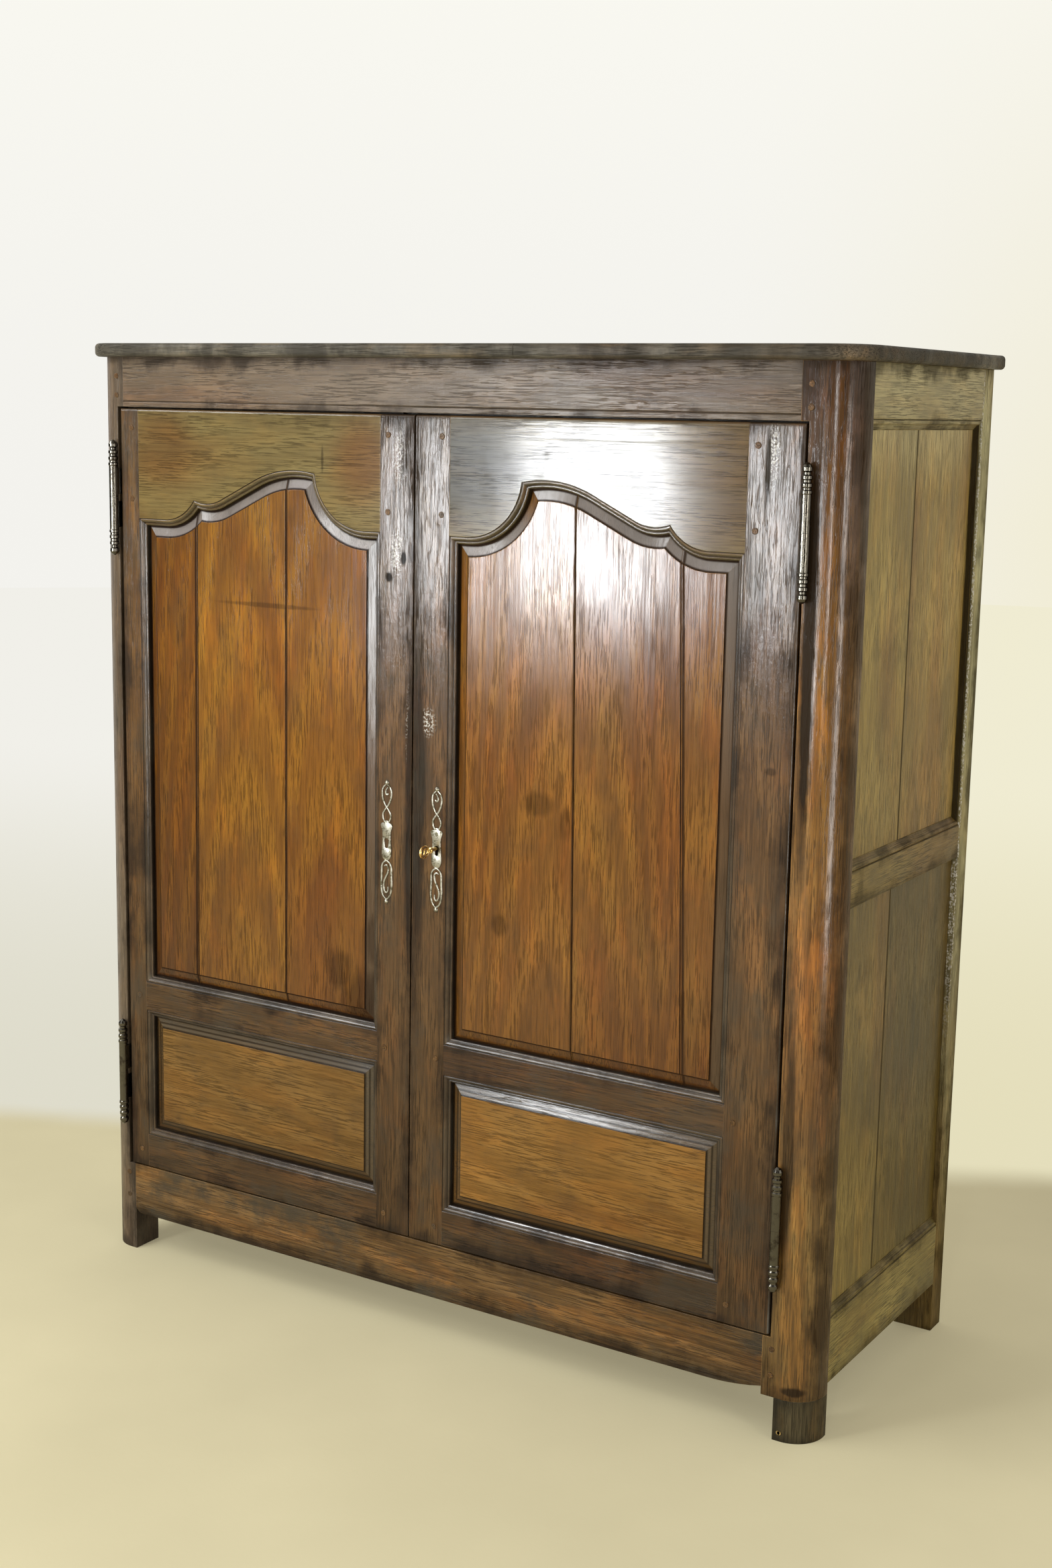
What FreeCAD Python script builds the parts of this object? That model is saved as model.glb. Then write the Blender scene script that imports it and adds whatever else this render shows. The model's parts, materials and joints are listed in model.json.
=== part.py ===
# Low oak armoire with two doors: joined frames, arched door panels, iron
# barrel hinges, a rim lock with its key and two flat door bolts.
# Millimetres. X runs to the right, Y to the back, Z up. The origin is on the
# floor, at the centre of the whole object's footprint.

import FreeCAD, Part
import math
import os

Vector = FreeCAD.Vector

# Carcass
carcass_width = 1404.0
carcass_depth = 536.0
carcass_height = 1600.0
key_reach_length = 48.0

# Posts
post_depth = 58.0
post_round_radius = 50.0
left_post_face_width = 50.5
right_post_face_width = 70.5
rear_post_width = 66.0
rear_post_depth = 42.0

# Door opening and its stop
stop_lap_width = 13.0
stop_clearance = 1.0

# Front rails
front_rail_thickness = 45.0
top_rail_face_width = 83.0
bottom_rail_face_width = 93.0
bottom_rail_foot_height = 70.0
bottom_rail_corner_radius = 14.0
bottom_rail_sweep_length = 90.0
bottom_rail_rise_height = 11.0
rail_bead_width = 3.0
rail_bead_rise_height = 9.0

# Tenons and pegs
tenon_length = 34.0
tenon_thickness = 9.0
tenon_shoulder_width = 16.0
side_tenon_shoulder_width = 10.0
tenon_setback_depth = 13.0
mortise_clearance = 0.3
peg_radius = 4.5
peg_clearance = 0.05
peg_proud = 0.8
peg_depth = 40.0
peg_inset = 15.0
peg_edge_inset = 16.0

# Side frames
side_frame_thickness = 30.0
side_moulding_width = 16.0
side_top_rail_width = 78.0
side_mid_rail_foot_height = 822.0
side_mid_rail_width = 53.0
side_bottom_rail_foot_height = 85.0
side_bottom_rail_width = 103.0
side_panel_recess_depth = 9.0
side_panel_thickness = 11.0
side_upper_joint_share = 0.46
side_lower_joint_share = 0.405

# Panels, grooves and the gap between planks
groove_depth = 8.0
tongue_clearance = 1.0
face_clearance = 0.2
plank_gap = 0.5
plank_vee_width = 2.2

# Doors
door_thickness = 26.0
meeting_gap = 3.0
hinge_gap = 4.5
top_gap = 3.0
meeting_offset = -33.0
meeting_stile_width = 66.0
left_hinge_stile_width = 41.0
door_edge_radius = 5.0
door_bottom_rail_width = 59.0
lower_opening_height = 234.0
door_mid_rail_width = 50.0
door_top_rail_width = 184.0
door_tongue_depth = 14.0
door_tongue_thickness = 7.0
field_front_depth = 7.0
field_step_height = 1.4
moulding_width = 12.0

# Arch of the upper door panels, as shares of the opening's width: places along
# it from the meeting stile, radii, and rises above the springing
shoulder_centre_share = 0.0651
shoulder_radius_share = 0.1933
crown_centre_share = 0.3393
crown_radius_share = 0.3787
dip_centre_share = 0.7101
dip_radius_share = 0.1460
tail_centre_share = 0.8876
tail_radius_share = 0.1519
arch_peak_share = 0.1805
arch_dip_share = 0.0592
shoulder_flat_length = 1.5

# Moulding sections: inset from the frame's arris and depth below its face
door_moulding_shares = [
    (0.0, 0.0),
    (0.06, 0.15),
    (0.15, 0.06),
    (0.32, 0.05),
    (0.48, 0.14),
    (0.58, 0.30),
    (0.66, 0.46),
    (0.76, 0.42),
    (0.90, 0.48),
    (1.0, 0.62),
]
side_moulding_shares = [
    (0.0, 0.0),
    (0.05, 0.14),
    (0.20, 0.06),
    (0.42, 0.10),
    (0.55, 0.30),
    (0.80, 0.46),
    (1.0, 0.54),
]

# Top
top_thickness = 22.0
top_overhang_front = 22.0
top_overhang_side = 16.0
top_overhang_back = 4.0
top_nose_radius = 7.0
top_front_joint_offset = 158.0
top_joint_shares = (0.39, 0.76)
top_gap_plank = 0.6

# Back, floor and shelves
back_rail_thickness = 22.0
back_setback_depth = 4.0
back_board_thickness = 12.0
back_board_count = 6
back_top_rail_width = 70.0
back_bottom_rail_foot_height = 120.0
back_bottom_rail_width = 75.0
floor_thickness = 20.0
shelf_thickness = 20.0
shelf_heights = (600.0, 1060.0)
shelf_board_count = 3
shelf_fit_clearance = 0.5
cleat_width = 25.0
cleat_height = 30.0

# Foot repair
repair_height = 68.0
repair_width = 62.0
repair_seam_gap = 0.4
repair_nail_radius = 3.2
repair_nail_proud = 1.2
repair_nail_depth = 14.0
repair_nail_height = 14.0
repair_nail_spread = 20.0

# Barrel hinges
lower_hinge_rise_height = 174.0
upper_hinge_drop_height = 154.0
hinge_half_length = 98.0
hinge_axis_out_offset = 4.0
hinge_axis_forward_offset = 9.0
hinge_barrel_radius = 7.5
hinge_ring_radius = 8.4
hinge_split_gap = 0.3
hinge_pin_radius = 3.5
hinge_pin_length = 60.0
hinge_pin_clearance = 0.08
hinge_pin_end_gap = 2.0
hinge_leaf_thickness = 2.2
hinge_leaf_reach = 26.0
hinge_leaf_depth = 12.4
hinge_leaf_height = 44.0
hinge_leaf_lift_height = 6.0
leaf_clearance = 0.2

# Turned end of a hinge half: height along the half and radius, as shares
hinge_turning_shares = [
    (0.55, 0.89),
    (0.565, 1.0),
    (0.60, 1.0),
    (0.615, 0.80),
    (0.64, 0.80),
    (0.66, 0.98),
    (0.70, 0.98),
    (0.72, 0.74),
    (0.75, 0.74),
    (0.77, 0.96),
    (0.81, 0.96),
    (0.83, 0.62),
    (0.86, 0.62),
    (0.885, 0.90),
    (0.93, 0.92),
    (0.97, 0.70),
    (1.0, 0.22),
]

# Escutcheons
escutcheon_inset = 49.0
escutcheon_height = 831.0
escutcheon_length = 214.0
escutcheon_width = 26.0
escutcheon_thickness = 1.8
escutcheon_nail_radius = 3.0
escutcheon_nail_proud = 2.4
escutcheon_nail_depth = 12.0
escutcheon_nail_share = 0.455
keyhole_radius = 5.0
keyhole_slot_width = 4.4
keyhole_drop_length = 13.0

# Scrolled loops of an escutcheon in pairs: height, distance from the middle, radius
escutcheon_loop_shares = [
    (0.400, 0.200, 0.200),
    (0.345, 0.245, 0.250),
    (0.225, 0.270, 0.230),
    (-0.155, 0.300, 0.200),
    (-0.215, 0.245, 0.250),
    (-0.285, 0.270, 0.230),
    (-0.350, 0.230, 0.230),
]
escutcheon_wire_share = 0.10
escutcheon_stem_share = 0.12
shield_top_share = 0.19
shield_foot_share = -0.11
shield_neck_share = 0.30
shield_ear_share = 0.12

# Rim lock and key
lock_inset = 3.0
lock_width = 82.0
lock_height = 108.0
lock_depth = 20.0
lock_sheet_thickness = 2.0
bolt_height = 15.0
bolt_thickness = 8.0
bolt_length = 58.0
bolt_rise_height = 26.0
bolt_clearance = 0.3
bolt_draw_back_gap = 0.5
key_rise_height = 2.0
key_shaft_radius = 3.2
key_clearance = 0.08
key_bit_reach = 12.0
key_bit_thickness = 2.6
key_bit_length = 9.0
key_bit_gap = 2.5
key_bow_radius = 12.5
key_bow_wire_width = 2.6
key_bow_thickness = 4.0
key_collar_radius = 5.0
key_collar_length = 4.0
key_collar_gap = 7.0
keeper_width = 20.0
keeper_sheet_thickness = 2.0
keeper_flange_height = 12.0

# Door bolts of the left door
slide_width = 14.0
slide_thickness = 5.0
slide_length = 150.0
slide_clearance = 0.3
slide_plate_width = 30.0
slide_plate_thickness = 1.6
slide_plate_margin_length = 12.0
slide_strap_height = 14.0
slide_strap_thickness = 2.0
slide_inset = 34.0
slide_end_gap = 2.0
slide_knob_radius = 5.0
slide_knob_length = 13.0
slide_socket_depth = 20.0
slide_socket_clearance = 1.0

# Overrun of every cut
overrun = 2.0

# Derived places
front = (key_reach_length - carcass_depth - top_overhang_back) / 2
half_width = carcass_width / 2
back = front + carcass_depth
opening_bottom = bottom_rail_foot_height + bottom_rail_face_width
opening_top = carcass_height - top_rail_face_width
left_opening = -half_width + left_post_face_width
right_opening = half_width - right_post_face_width
left_post_inner = left_opening + stop_lap_width
right_post_inner = right_opening - stop_lap_width
stop_depth = door_thickness + stop_clearance
rear_post_front = back - rear_post_depth
rear_post_inner = half_width - rear_post_width
side_inner = half_width - side_frame_thickness
side_y_front = front + post_depth
side_top_rail_foot = carcass_height - side_top_rail_width
side_mid_rail_head = side_mid_rail_foot_height + side_mid_rail_width
side_bottom_rail_head = side_bottom_rail_foot_height + side_bottom_rail_width
back_top_rail_foot = carcass_height - back_top_rail_width
back_bottom_rail_head = back_bottom_rail_foot_height + back_bottom_rail_width
back_face = back - back_setback_depth
back_board_front = back_face - (back_rail_thickness + back_board_thickness) / 2
floor_top = opening_bottom + stop_lap_width

# Derived places on the doors
door_foot = opening_bottom + top_gap
door_head = opening_top - top_gap
left_door_width = meeting_offset - left_opening - hinge_gap
right_door_width = right_opening - meeting_offset - hinge_gap
panel_opening_width = left_door_width - meeting_stile_width - left_hinge_stile_width
hinge_line = meeting_stile_width + panel_opening_width
lower_opening_foot = door_foot + door_bottom_rail_width
lower_opening_head = lower_opening_foot + lower_opening_height
upper_opening_foot = lower_opening_head + door_mid_rail_width
arch_spring = door_head - door_top_rail_width
arch_peak = arch_spring + arch_peak_share * panel_opening_width
arch_dip = arch_spring + arch_dip_share * panel_opening_width
shoulder_radius = shoulder_radius_share * panel_opening_width
crown_radius = crown_radius_share * panel_opening_width
dip_radius = dip_radius_share * panel_opening_width
tail_radius = tail_radius_share * panel_opening_width
shoulder_x = meeting_stile_width + shoulder_centre_share * panel_opening_width
crown_x = meeting_stile_width + crown_centre_share * panel_opening_width
dip_x = meeting_stile_width + dip_centre_share * panel_opening_width
tail_x = meeting_stile_width + tail_centre_share * panel_opening_width
field_border = shoulder_x - meeting_stile_width - shoulder_flat_length
hinge_heights = (opening_bottom + lower_hinge_rise_height, opening_top - upper_hinge_drop_height)
key_height = escutcheon_height + key_rise_height

parts = {}


def add(node, shape):
    parts.setdefault(node, []).append(shape)


def box(x0, x1, y0, y1, z0, z1):
    corner = Vector(min(x0, x1), min(y0, y1), min(z0, z1))
    return Part.makeBox(abs(x1 - x0), abs(y1 - y0), abs(z1 - z0), corner)


def cylinder(radius, start, direction, length):
    return Part.makeCylinder(radius, length, Vector(*start), Vector(*direction))


def plate_xz(points, y0, y1):
    corners = [Vector(x, y0, z) for x, z in points]
    face = Part.Face(Part.makePolygon(corners + corners[:1]))
    return face.extrude(Vector(0, y1 - y0, 0))


def plate_yz(points, x0, x1):
    corners = [Vector(x0, y, z) for y, z in points]
    face = Part.Face(Part.makePolygon(corners + corners[:1]))
    return face.extrude(Vector(x1 - x0, 0, 0))


def mirrored(shape):
    return shape.mirror(Vector(0, 0, 0), Vector(1, 0, 0))


def strip(one, other):
    # A face between two matching edges, flat where both are straight
    if one.Curve.TypeId != "Part::GeomLine":
        return Part.makeRuledSurface(one, other)
    a, b = one.Vertexes[0].Point, one.Vertexes[-1].Point
    c, d = other.Vertexes[0].Point, other.Vertexes[-1].Point
    if (a - c).Length > (a - d).Length:
        c, d = d, c
    return Part.Face(Part.makePolygon([a, b, d, c, a]))


def lofted(wires):
    # A closed solid through wires that have the same number of edges
    faces = [Part.Face(wires[0]), Part.Face(wires[-1])]
    for low, high in zip(wires, wires[1:]):
        for one, other in zip(low.Edges, high.Edges):
            faces.append(strip(one, other))
    shell = Part.makeShell(faces)
    shell.sewShape()
    solid = Part.makeSolid(shell)
    if solid.Volume < 0:
        solid.reverse()
    return solid


def turned(profile, centre, axis):
    # A solid of revolution from radius and height pairs, upwards from the centre
    points = [Vector(radius, 0, height) for radius, height in profile]
    points = [Vector(0, 0, profile[0][1])] + points + [Vector(0, 0, profile[-1][1])]
    face = Part.Face(Part.makePolygon(points + points[:1]))
    solid = face.revolve(Vector(0, 0, 0), Vector(0, 0, 1), 360)
    if axis < 0:
        solid = solid.mirror(Vector(0, 0, 0), Vector(0, 0, 1))
    solid.translate(Vector(*centre))
    return solid


# Joints between rails and posts

def tenon_x(x_shoulder, side, z0, z1):
    y0 = front + tenon_setback_depth
    x_end = x_shoulder + side * tenon_length
    low = z0 + tenon_shoulder_width
    high = z1 - tenon_shoulder_width
    return box(x_shoulder, x_end, y0, y0 + tenon_thickness, low, high)


def mortise_x(x_shoulder, side, z0, z1):
    y0 = front + tenon_setback_depth - mortise_clearance
    y1 = y0 + tenon_thickness + 2 * mortise_clearance
    x_end = x_shoulder + side * (tenon_length + mortise_clearance)
    low = z0 + tenon_shoulder_width - mortise_clearance
    high = z1 - tenon_shoulder_width + mortise_clearance
    return box(x_shoulder, x_end, y0, y1, low, high)


def peg_y(x, z):
    start = (x, front - peg_proud, z)
    return cylinder(peg_radius, start, (0, 1, 0), peg_depth)


def peg_hole_y(x, z):
    start = (x, front - peg_proud, z)
    return cylinder(peg_radius + peg_clearance, start, (0, 1, 0), peg_depth)


def rail_pegs(rail_z):
    # Two pegs through each end of the front rails, at these heights
    places = []
    inset = peg_edge_inset + tenon_shoulder_width
    for inner, side in ((left_post_inner, -1), (right_post_inner, 1)):
        for low, high in rail_z:
            for z in (low + inset, high - inset):
                places.append((inner + side * peg_inset, z))
    return places


top_rail_z = (opening_top - stop_lap_width, carcass_height)
bottom_rail_z = (bottom_rail_foot_height, opening_bottom + stop_lap_width)
peg_places = rail_pegs((top_rail_z, bottom_rail_z))


# Posts

def front_post(side, face_width):
    # Section from the outer side plane inwards, rounded at the outer front corner
    outer = side * half_width
    centre_x = outer - side * post_round_radius
    full = face_width + stop_lap_width
    inner = outer - side * full
    edge_front = Vector(centre_x, front, 0)
    edge_side = Vector(outer, front + post_round_radius, 0)
    half_turn = post_round_radius * math.sqrt(0.5)
    middle = Vector(centre_x + side * half_turn, front + post_round_radius - half_turn, 0)
    lines = [
        Part.makeLine(edge_side, Vector(outer, front + post_depth, 0)),
        Part.makeLine(Vector(outer, front + post_depth, 0), Vector(inner, front + post_depth, 0)),
        Part.makeLine(Vector(inner, front + post_depth, 0), Vector(inner, front, 0)),
        Part.makeLine(Vector(inner, front, 0), edge_front),
        Part.Arc(edge_front, middle, edge_side).toShape(),
    ]
    post = Part.Face(Part.Wire(lines)).extrude(Vector(0, 0, carcass_height))
    stop_face = outer - side * face_width
    rebate = box(stop_face, inner - side * overrun, front - overrun, front + stop_depth,
                 opening_bottom, opening_top)
    post = post.cut(rebate)
    for low, high in (top_rail_z, bottom_rail_z):
        post = post.cut(mortise_x(inner, side, low, high))
    for x, z in peg_places:
        post = post.cut(peg_hole_y(x, z))
    return post.cut(side_panel_groove(side)).cut(side_tenons(side, mortise_clearance))


def rear_post(side):
    outer = side * half_width
    post = box(outer - side * rear_post_width, outer, rear_post_front, back, 0, carcass_height)
    strip = side_plate(side).common(side_post_strip(side))
    post = post.fuse(strip).removeSplitter()
    post = post.cut(side_panel_groove(side)).cut(side_tenons(side, mortise_clearance))
    return post.cut(back_groove()).cut(back_tenons(mortise_clearance))


# Side frames

def side_outline(inset, x, z_low, z_high, ends):
    # Ends that carry no moulding lie beyond the opening, so their share is cut off later
    beyond = side_moulding_width + overrun
    front_y = side_y_front - beyond + inset
    rear_y = rear_post_front + (0 if ends["rear"] else beyond) - inset
    z0 = z_low + inset
    z1 = z_high + (0 if ends["top"] else beyond) - inset
    corners = [Vector(x, front_y, z0), Vector(x, rear_y, z0), Vector(x, rear_y, z1), Vector(x, front_y, z1)]
    return Part.makePolygon(corners + corners[:1])


def side_opening_cut(side, z_low, z_high, ends):
    # The opening with its moulded edges, as a solid to cut away
    outer = side * half_width
    wires = [side_outline(0, outer + side * overrun, z_low, z_high, ends)]
    for inset, depth in side_moulding_shares:
        x = outer - side * depth * side_moulding_width
        wires.append(side_outline(inset * side_moulding_width, x, z_low, z_high, ends))
    last = outer - side * (side_frame_thickness + overrun)
    wires.append(side_outline(side_moulding_width, last, z_low, z_high, ends))
    limit = box(outer + side * overrun, last, side_y_front - overrun, rear_post_front + overrun,
                z_low, z_high)
    return lofted(wires).common(limit)


def side_plate(side):
    outer = side * half_width
    plate = box(outer - side * side_frame_thickness, outer, side_y_front,
                rear_post_front, side_bottom_rail_foot_height, carcass_height)
    upper = side_opening_cut(side, side_mid_rail_head, side_top_rail_foot, {"top": True, "rear": True})
    lower = side_opening_cut(side, side_bottom_rail_head, side_mid_rail_foot_height,
                             {"top": False, "rear": False})
    return plate.cut(upper).cut(lower).cut(side_panel_groove(side))


def side_post_strip(side):
    # The mitred moulding that the rear post carries beside the upper panel
    outer = side * half_width
    low = side_mid_rail_head
    high = side_top_rail_foot
    edge = rear_post_front - side_moulding_width
    points = [(rear_post_front, low), (edge, low + side_moulding_width),
              (edge, high - side_moulding_width), (rear_post_front, high)]
    return plate_yz(points, outer - side * side_frame_thickness, outer)


def side_panel_groove(side):
    outer = side * half_width
    x0 = outer - side * (side_panel_recess_depth - face_clearance)
    x1 = outer - side * (side_panel_recess_depth + side_panel_thickness + face_clearance)
    y0 = side_y_front - groove_depth
    upper = box(x0, x1, y0, rear_post_front - side_moulding_width + groove_depth,
                side_mid_rail_head + side_moulding_width - groove_depth,
                side_top_rail_foot - side_moulding_width + groove_depth)
    lower = box(x0, x1, y0, rear_post_front + groove_depth,
                side_bottom_rail_head + side_moulding_width - groove_depth,
                side_mid_rail_foot_height + groove_depth)
    return upper.fuse(lower)


side_rails = {
    "top": (side_top_rail_foot - side_moulding_width, carcass_height),
    "mid": (side_mid_rail_foot_height, side_mid_rail_head + side_moulding_width),
    "bottom": (side_bottom_rail_foot_height, side_bottom_rail_head + side_moulding_width),
}


def side_tenons(side, clearance):
    outer = side * half_width
    x0 = outer - side * (side_panel_recess_depth + side_panel_thickness + face_clearance)
    x1 = x0 - side * tenon_thickness
    tenons = None
    reach = tenon_length + clearance
    for low, high in side_rails.values():
        z0 = low + side_tenon_shoulder_width + groove_depth - clearance
        z1 = high - side_tenon_shoulder_width - groove_depth + clearance
        for y0, y1 in ((side_y_front - reach, side_y_front), (rear_post_front, rear_post_front + reach)):
            piece = box(x0 + side * clearance, x1 - side * clearance, y0, y1, z0, z1)
            tenons = piece if tenons is None else tenons.fuse(piece)
    return tenons


def side_rail(side, name):
    low, high = side_rails[name]
    outer = side * half_width
    region = box(outer - side * side_frame_thickness, outer, side_y_front, rear_post_front, low, high)
    rail = side_plate(side).common(region).cut(side_post_strip(side))
    span = box(-half_width, half_width, side_y_front - tenon_length,
               rear_post_front + tenon_length, low, high)
    rail = rail.fuse(side_tenons(side, 0).common(span))
    return rail.removeSplitter()


def side_panel(side, z_low, z_high, y_rear, joint_share):
    # Two upright planks whose edges lie in the grooves
    outer = side * half_width
    x0 = outer - side * side_panel_recess_depth
    x1 = x0 - side * side_panel_thickness
    y0 = side_y_front - groove_depth + tongue_clearance
    y1 = y_rear + groove_depth - tongue_clearance
    joint = side_y_front + joint_share * (y_rear - side_y_front)
    z0 = z_low - groove_depth + tongue_clearance
    z1 = z_high + groove_depth - tongue_clearance
    front_plank = box(x0, x1, y0, joint - plank_gap / 2, z0, z1)
    rear_plank = box(x0, x1, joint + plank_gap / 2, y1, z0, z1)
    vee = plate_vee_yz(x0, side, joint, z0, z1)
    return [front_plank.cut(vee), rear_plank.cut(vee)]


def plate_vee_yz(x0, side, joint, z0, z1):
    # A small open vee along an upright plank joint
    half = plank_vee_width / 2
    points = [Vector(x0, joint - half, z0), Vector(x0, joint + half, z0),
              Vector(x0 - side * half, joint, z0)]
    face = Part.Face(Part.makePolygon(points + points[:1]))
    return face.extrude(Vector(0, 0, z1 - z0))


# Front rails

def front_top_rail():
    low, high = top_rail_z
    rail = box(left_post_inner, right_post_inner, front, front + front_rail_thickness, low, high)
    rebate = box(left_post_inner - overrun, right_post_inner + overrun, front - overrun,
                 front + stop_depth, low - overrun, opening_top)
    rail = rail.cut(rebate)
    bead_z = opening_top + rail_bead_rise_height
    half = rail_bead_width / 2
    groove = [(front, bead_z - half), (front + half, bead_z), (front, bead_z + half)]
    rail = rail.cut(plate_yz(groove, left_post_inner, right_post_inner))
    rail = rail.cut(slide_socket(opening_top - stop_lap_width, 1))
    return joined_rail(rail, low, high)


def front_bottom_rail():
    # The lower edge rounds up to the left post and sweeps up gently to the right one
    low, high = bottom_rail_z
    x0, x1 = left_post_inner, right_post_inner
    radius = bottom_rail_corner_radius
    half_turn = radius * math.sqrt(0.5)
    half_angle = math.atan2(bottom_rail_rise_height, bottom_rail_sweep_length)
    sweep_radius = bottom_rail_sweep_length / math.sin(2 * half_angle)
    sweep_start = Vector(x1 - bottom_rail_sweep_length, front, low)
    sweep_middle = sweep_start + Vector(math.sin(half_angle), 0, 1 - math.cos(half_angle)) * sweep_radius
    sweep_end = Vector(x1, front, low + bottom_rail_rise_height)
    corner_end = Vector(x0 + radius, front, low)
    corner_middle = Vector(x0 + radius - half_turn, front, low + radius - half_turn)
    corner_start = Vector(x0, front, low + radius)
    top_left = Vector(x0, front, high)
    top_right = Vector(x1, front, high)
    edges = [
        Part.makeLine(top_left, corner_start),
        Part.Arc(corner_start, corner_middle, corner_end).toShape(),
        Part.makeLine(corner_end, sweep_start),
        Part.Arc(sweep_start, sweep_middle, sweep_end).toShape(),
        Part.makeLine(sweep_end, top_right),
        Part.makeLine(top_right, top_left),
    ]
    rail = Part.Face(Part.Wire(edges)).extrude(Vector(0, front_rail_thickness, 0))
    rebate = box(x0 - overrun, x1 + overrun, front - overrun, front + stop_depth,
                 opening_bottom, high + overrun)
    rail = rail.cut(rebate).cut(slide_socket(opening_bottom + stop_lap_width, -1))
    return joined_rail(rail, low, high)


def joined_rail(rail, low, high):
    for inner, side in ((left_post_inner, -1), (right_post_inner, 1)):
        rail = rail.fuse(tenon_x(inner, side, low, high))
    rail = rail.removeSplitter()
    for x, z in peg_places:
        rail = rail.cut(peg_hole_y(x, z))
    return rail


def slide_socket(edge, direction):
    # The hole in a rail's stop that a door bolt slides into
    x = meeting_offset - slide_inset
    half = slide_width / 2 + slide_socket_clearance
    y0 = front + stop_depth - overrun
    y1 = front + door_thickness + slide_plate_thickness + slide_thickness + slide_socket_clearance
    return box(x - half, x + half, y0, y1 + slide_clearance, edge - direction * overrun,
               edge + direction * slide_socket_depth)


# Top

def top_boards():
    x1 = half_width + top_overhang_side
    y0 = front - top_overhang_front
    y1 = back + top_overhang_back
    z0 = carcass_height
    slab = box(-x1, x1, y0, y1, z0, z0 + top_thickness)
    corner = post_round_radius + top_overhang_side
    upright = [e for e in slab.Edges if abs(e.Vertexes[0].Z - e.Vertexes[1].Z) > top_thickness / 2
               and e.CenterOfMass.y < (y0 + y1) / 2]
    slab = slab.makeFillet(corner, upright)
    rim = [e for e in slab.Edges if e.CenterOfMass.y < y1 - top_nose_radius
           and abs(e.BoundBox.ZMax - e.BoundBox.ZMin) < top_thickness / 2]
    slab = slab.makeFillet(top_nose_radius, rim)
    depth = y1 - y0
    cuts = [y0 + share * depth for share in top_joint_shares]
    half = top_gap_plank / 2
    left = box(-x1, top_front_joint_offset - half, y0, cuts[0] - half, z0, z0 + top_thickness)
    right = box(top_front_joint_offset + half, x1, y0, cuts[0] - half, z0, z0 + top_thickness)
    middle = box(-x1, x1, cuts[0] + half, cuts[1] - half, z0, z0 + top_thickness)
    rear = box(-x1, x1, cuts[1] + half, y1, z0, z0 + top_thickness)
    add("top_front_boards", slab.common(left))
    add("top_front_boards", slab.common(right))
    add("top_middle_board", slab.common(middle))
    add("top_rear_board", slab.common(rear))


# Back

def back_groove():
    y0 = back_board_front - face_clearance
    y1 = back_board_front + back_board_thickness + face_clearance
    x = rear_post_inner + groove_depth
    return box(-x, x, y0, y1, back_bottom_rail_head - groove_depth, back_top_rail_foot + groove_depth)


back_rails = ((back_top_rail_foot, carcass_height), (back_bottom_rail_foot_height, back_bottom_rail_head))


def back_tenons(clearance):
    y0 = back_board_front - clearance
    y1 = back_board_front + tenon_thickness + clearance
    reach = rear_post_inner + tenon_length + clearance
    tenons = None
    for low, high in back_rails:
        z0 = low + tenon_shoulder_width - clearance
        z1 = high - tenon_shoulder_width + clearance
        piece = box(-reach, reach, y0, y1, z0, z1)
        tenons = piece if tenons is None else tenons.fuse(piece)
    return tenons


def back_rail(low, high):
    x = rear_post_inner
    rail = box(-x, x, back_face - back_rail_thickness, back_face, low, high).cut(back_groove())
    span = box(-half_width, half_width, front, back, low, high)
    return rail.fuse(back_tenons(0).common(span)).removeSplitter()


def back_boards():
    x = rear_post_inner + groove_depth - tongue_clearance
    z0 = back_bottom_rail_head - groove_depth + tongue_clearance
    z1 = back_top_rail_foot + groove_depth - tongue_clearance
    step = 2 * x / back_board_count
    for number in range(back_board_count):
        x0 = -x + number * step + plank_gap / 2
        x1 = -x + (number + 1) * step - plank_gap / 2
        add("back_boards", box(x0, x1, back_board_front, back_board_front + back_board_thickness, z0, z1))


# Floor and shelves

def level_boards(node, z_top, thickness, y0, y1):
    # Lengthwise planks cut round the posts
    obstacles = []
    front_end = side_y_front + shelf_fit_clearance
    rear_start = rear_post_front - shelf_fit_clearance
    for side, face_width in ((-1, left_post_face_width), (1, right_post_face_width)):
        outer = side * half_width
        reach = face_width + stop_lap_width + shelf_fit_clearance
        obstacles.append(box(outer, outer - side * reach, front, front_end, 0, carcass_height))
        rear_reach = rear_post_width + shelf_fit_clearance
        obstacles.append(box(outer, outer - side * rear_reach, rear_start, back, 0, carcass_height))
    x = side_inner - shelf_fit_clearance
    step = (y1 - y0) / shelf_board_count
    for number in range(shelf_board_count):
        low = y0 + number * step + plank_gap / 2
        high = y0 + (number + 1) * step - plank_gap / 2
        board = box(-x, x, low, high, z_top - thickness, z_top)
        for obstacle in obstacles:
            board = board.cut(obstacle)
        add(node, board)


def cleats(node, z_top):
    for side in (-1, 1):
        x0 = side * side_inner
        add(node, box(x0, x0 - side * cleat_width, side_y_front, rear_post_front,
                      z_top - cleat_height, z_top))


def floor_and_shelves():
    back_inner = back_face - back_rail_thickness - shelf_fit_clearance
    front_inner = front + front_rail_thickness
    level_boards("floor_boards", floor_top, floor_thickness, front_inner, back_inner)
    cleats("floor_bearers", floor_top - floor_thickness)
    x0, x1 = left_post_inner, right_post_inner
    low = floor_top - floor_thickness - cleat_height
    high = floor_top - floor_thickness
    add("floor_bearers", box(x0, x1, front_inner, front_inner + cleat_width, low, high))
    for name, height in zip(("lower", "upper"), shelf_heights):
        level_boards("shelf_" + name, height, shelf_thickness, side_y_front + shelf_fit_clearance,
                     back_inner)
        cleats("shelf_cleats", height - shelf_thickness)


# Right front foot, whose worn end was replaced

def foot_block():
    return box(half_width, right_post_inner, front, side_y_front, 0, repair_height)


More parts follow.
